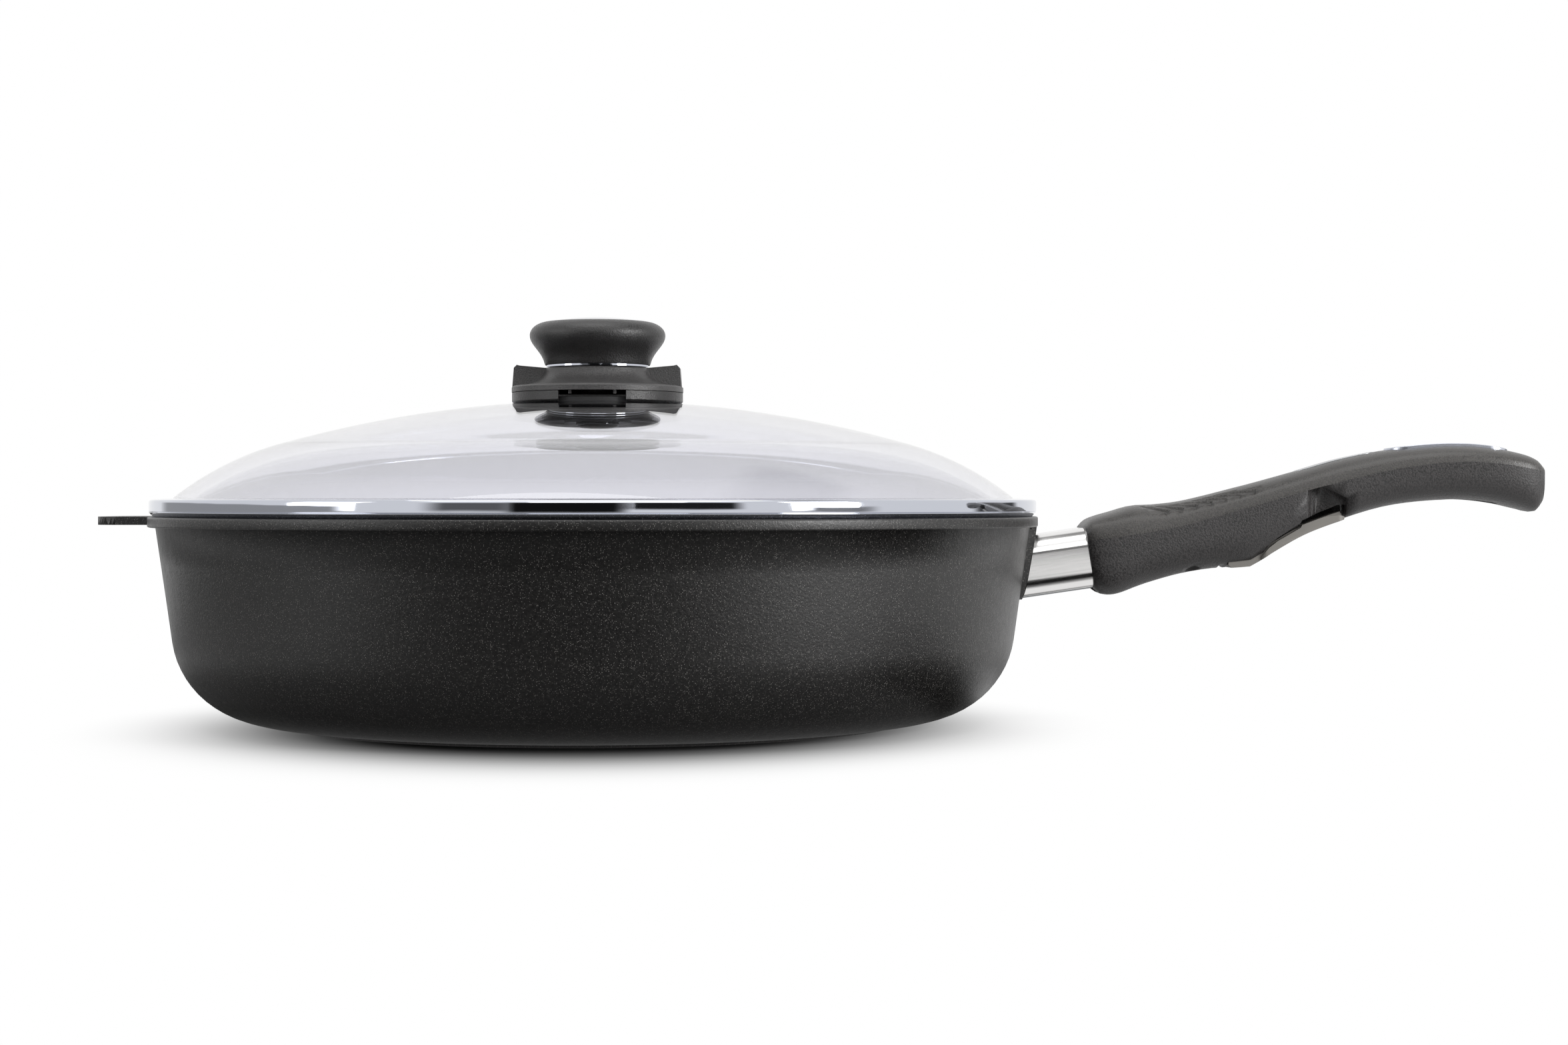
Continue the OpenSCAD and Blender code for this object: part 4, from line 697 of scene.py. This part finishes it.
class PAN_OT_studio(bpy.types.Operator):
    """Adds the floor, the soft light and the camera at the photograph's angle"""
    bl_idname = "pan.studio"
    bl_label = "Studio"

    def execute(self, context):
        context.scene.view_settings.view_transform = "Standard"
        studio_floor()
        studio_world()
        softbox("Top_softbox", (0.0, -0.25, 1.3), (0.03, 0, 0.05), size=(1.3, 0.9), power=8)
        softbox("Left_softbox", (-1.25, -0.6, 0.4), (0, 0, 0.06), size=(0.5, 0.8), power=3.6)
        softbox("Right_softbox", (1.3, -0.75, 0.4), (0.1, 0, 0.06), size=(0.5, 0.8), power=17)
        softbox("Front_softbox", (0.2, -1.7, 0.9), (0.05, 0, 0.06), size=(1.2, 0.7), power=3.6)
        # Name, place, target, width and height, level of grey, and share that the soft edge takes
        for card in (
                ("Dark_front", (-0.05, -0.84, 0.15), (-0.05, 0, 0.15), (0.46, 0.34), 0.01, 0.15),
                ("Dark_front_right", (0.36, -0.84, 0.19), (0.36, 0, 0.19), (0.6, 0.3), 0.02, 0.15),
                ("Grey_front", (-0.36, -0.8, 0.12), (-0.1, 0, 0.12), (0.44, 0.26), 0.15, 0.3),
                ("Dark_mat", (-0.1, -0.46, 0.001), (-0.1, -0.46, 1), (0.56, 0.66), 0.02, 0.14),
                ("Grey_left", (-1.0, 0.05, 0.06), (-0.1, -0.05, 0.07), (1.7, 0.16), 0.4, 0.12),
                ("Grey_right", (0.92, -0.5, 0.06), (0.08, -0.12, 0.07), (0.5, 0.14), 0.25, 0.3),
                ("Dark_right", (0.85, 0.48, 0.07), (0.13, -0.06, 0.07), (0.5, 0.14), 0.08, 0.2),
                ("Dark_strip", (0.165, -0.075, 0.0012), (0.165, -0.075, 1), (0.12, 0.085), 0.0, 0.15),
                ("White_strip", (0.175, 0.0, 0.0012), (0.175, 0.0, 1), (0.1, 0.06), 0.9, 0.15),
                ("Grey_mat", (-0.42, 0.02, 0.001), (-0.42, 0.02, 1), (0.5, 0.6), 0.2, 0.2),
                ("Grey_strip", (0.18, -0.35, 0.0012), (0.18, -0.35, 1), (0.12, 0.4), 0.6, 0.3),
                ("Grey_ceiling", (0.165, 0.015, 0.35), (0.165, 0.015, 0), (0.14, 0.24), 0.15, 0.3)):
            soft_card(*card)
        photo_camera()
        return {"FINISHED"}


class PAN_OT_body(bpy.types.Operator):
    """Finishes the cast pan and the steel plate in its base"""
    bl_idname = "pan.body"
    bl_label = "Pan body"

    def execute(self, context):
        put(dressed("pan_body", "pan_casting", CAST_CREASE), sprayed_coating(),
            "pan", "pan_coating", "pan_body")
        put(dressed("base_plate", "base_disc"), spun_steel(), "pan", "base_steel", "base_plate")
        return {"FINISHED"}


class PAN_OT_lid(bpy.types.Operator):
    """Makes the glass dome, its steel rim and the seals on the glass"""
    bl_idname = "pan.lid"
    bl_label = "Lid"

    def execute(self, context):
        put(dome(), tempered_glass(), "lid", "lid_glass", "lid_glass")
        rim_steel = polished_stainless("Rim_stainless", context.scene.pan_colours.rim,
                                       wave=0.07, low_rough=0.02, high_rough=0.07)
        put(steel_rim(), rim_steel, "lid", "polished_steel", "lid_rim")
        rubber = silicone()
        for name in ("rim_seal", "knob_gasket", "under_seal"):
            put(dressed(name, name + "_moulding"), rubber, "lid", "seal_rubber", name)
        return {"FINISHED"}


class PAN_OT_knob(bpy.types.Operator):
    """Makes the knob with its vent collar, its disc and its screw"""
    bl_idname = "pan.knob"
    bl_label = "Knob"

    def execute(self, context):
        colours = context.scene.pan_colours
        # Grains of 0.5 mm, coarser than the real ones, so that they show
        black = moulded_phenolic("Moulded_knob", colours.knob, grain=0.5, depth=0.05, painted_grain_shade=0.3,
                                 low_rough=0.3, high_rough=0.45)
        soft_black = moulded_phenolic("Moulded_collar", colours.collar, grain=0.5, depth=0.05, painted_grain_shade=0.3,
                                      low_rough=0.34, high_rough=0.5)
        put(knob_turning(), black, "lid", "knob_plastic", "knob_grip")
        put(dressed("knob_base", "knob_base_ring", soft=0.25), black, "lid", "knob_plastic", "knob_base")
        put(dressed("vent_collar", "vent_collar_wings", soft=0.3), soft_black,
            "vent", "knob_plastic", "vent_collar")
        rim_steel = bpy.data.materials["Rim_stainless"]
        bright = polished_stainless("Polished_stainless", colours.polished,
                                    wave=0.004, low_rough=0.03, high_rough=0.12)
        put(knob_cap(), bright, "lid", "polished_steel", "knob_disc")
        put(dressed("neck_ring", "neck_washer"), rim_steel, "lid", "polished_steel", "neck_ring")
        put(dressed("knob_insert", "knob_nut"), turned_brass(), "lid", "insert_brass", "knob_insert")
        satin = satin_stainless()
        for name in ("under_disc", "under_washer", "knob_screw"):
            put(dressed(name, name + "_steel"), satin, "lid", "satin_steel", name)
        return {"FINISHED"}


class PAN_OT_ferrule(bpy.types.Operator):
    """Makes the ferrule, its bracket and the latch leaf"""
    bl_idname = "pan.ferrule"
    bl_label = "Ferrule and latch"

    def execute(self, context):
        put(dressed("ferrule", "ferrule_tube", soft=0.2), brushed_stainless(),
            "handle", "ferrule_steel", "ferrule")
        satin = bpy.data.materials["Satin_stainless"]
        for name in ("bracket", "bracket_rivets", "leaf_rivet"):
            put(dressed(name, name + "_steel"), satin, "handle", "satin_steel", name)
        # The leaf reaches from its rivet to its free front end, which the trigger's arm pushes down. It is
        # given no body, and its place is baked into its mesh
        leaf = put(dressed("latch_leaf", "latch_spring"), satin, None, "satin_steel", "latch_leaf")
        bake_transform(leaf)
        return {"FINISHED"}


class PAN_OT_grip(bpy.types.Operator):
    """Makes the two shells of the grip, their screws, the inlay and the strip"""
    bl_idname = "pan.grip"
    bl_label = "Grip"

    def execute(self, context):
        colours = context.scene.pan_colours
        # Grains of 0.6 and 0.5 mm, coarser than the real ones, so that they show
        lower = moulded_phenolic("Coarse_phenolic", colours.grip_lower, grain=0.6, depth=0.06, painted_grain_shade=0.6,
                                 low_rough=0.4, high_rough=0.62)
        upper = moulded_phenolic("Fine_phenolic", colours.grip_upper, grain=0.5, depth=0.03, painted_grain_shade=0.35,
                                 low_rough=0.3, high_rough=0.48)
        # A rib at the back of the trigger's room runs in a slot of the trigger and keeps the light out
        under_shell = dressed("grip_lower", "grip_under_shell", tool=slab(RIB_OUTLINE, RIB_HALF),
                              operation="UNION")
        put(under_shell, lower, "handle", "grip_lower_plastic", "grip_lower")
        put(dressed("grip_upper", "grip_top_shell"), upper, "handle", "grip_upper_plastic", "grip_upper")
        satin = bpy.data.materials["Satin_stainless"]
        bright = polished_stainless("Inlay_stainless", colours.rim, wave=0.002, low_rough=0.2, high_rough=0.3)
        put(dressed("shell_screws", "grip_screws"), satin, "handle", "satin_steel", "shell_screws")
        put(dressed("slot_inlay", "slot_surround", soft=0.2), bright,
            "handle", "polished_steel", "slot_inlay")
        # The strip is nearly flush with the grip
        strip, strip_drop = dressed("top_strip", "top_strip_steel", soft=0.15), 0.4 * MM
        strip.data.transform(Matrix.Translation((0, 0, -strip_drop)))
        put(strip, satin, "handle", "satin_steel", "top_strip")
        return {"FINISHED"}


class PAN_OT_trigger(bpy.types.Operator):
    """Makes the release trigger and its pin"""
    bl_idname = "pan.trigger"
    bl_label = "Trigger"

    def execute(self, context):
        lever = dressed("trigger", "release_trigger", soft=0.35, tool=slab(SLOT_OUTLINE, SLOT_HALF))
        put(lever, satin_nylon(), "trigger", "trigger_plastic", "trigger")
        satin = bpy.data.materials["Satin_stainless"]
        put(dressed("trigger_pin", "trigger_axle"), satin, "handle", "satin_steel", "trigger_pin")
        return {"FINISHED"}


OPERATORS = (PAN_OT_studio, PAN_OT_body, PAN_OT_lid, PAN_OT_knob,
             PAN_OT_ferrule, PAN_OT_grip, PAN_OT_trigger)


class PAN_PT_panel(bpy.types.Panel):
    """Lists the pan's sizes, colours and operators in the sidebar"""
    bl_idname = "PAN_PT_panel"
    bl_label = "Deep frying pan"
    bl_space_type = "VIEW_3D"
    bl_region_type = "UI"
    bl_category = "Pan"

    def draw(self, context):
        for operator in OPERATORS:
            self.layout.operator(operator.bl_idname)
        for group in (context.scene.pan_sizes, context.scene.pan_colours):
            box = self.layout.box()
            for key in group.__annotations__:
                box.prop(group, key)


CLASSES = (PanSizes, PanColours) + OPERATORS + (PAN_PT_panel,)


def register():
    for cls in CLASSES:
        bpy.utils.register_class(cls)
    bpy.types.Scene.pan_sizes = PointerProperty(type=PanSizes)
    bpy.types.Scene.pan_colours = PointerProperty(type=PanColours)


def unregister():
    del bpy.types.Scene.pan_sizes
    del bpy.types.Scene.pan_colours
    for cls in reversed(CLASSES):
        bpy.utils.unregister_class(cls)


def main():
    """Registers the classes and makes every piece."""
    register()
    for operator in OPERATORS:
        getattr(bpy.ops.pan, operator.bl_idname.split(".")[1])()


if __name__ == "__main__":
    main()
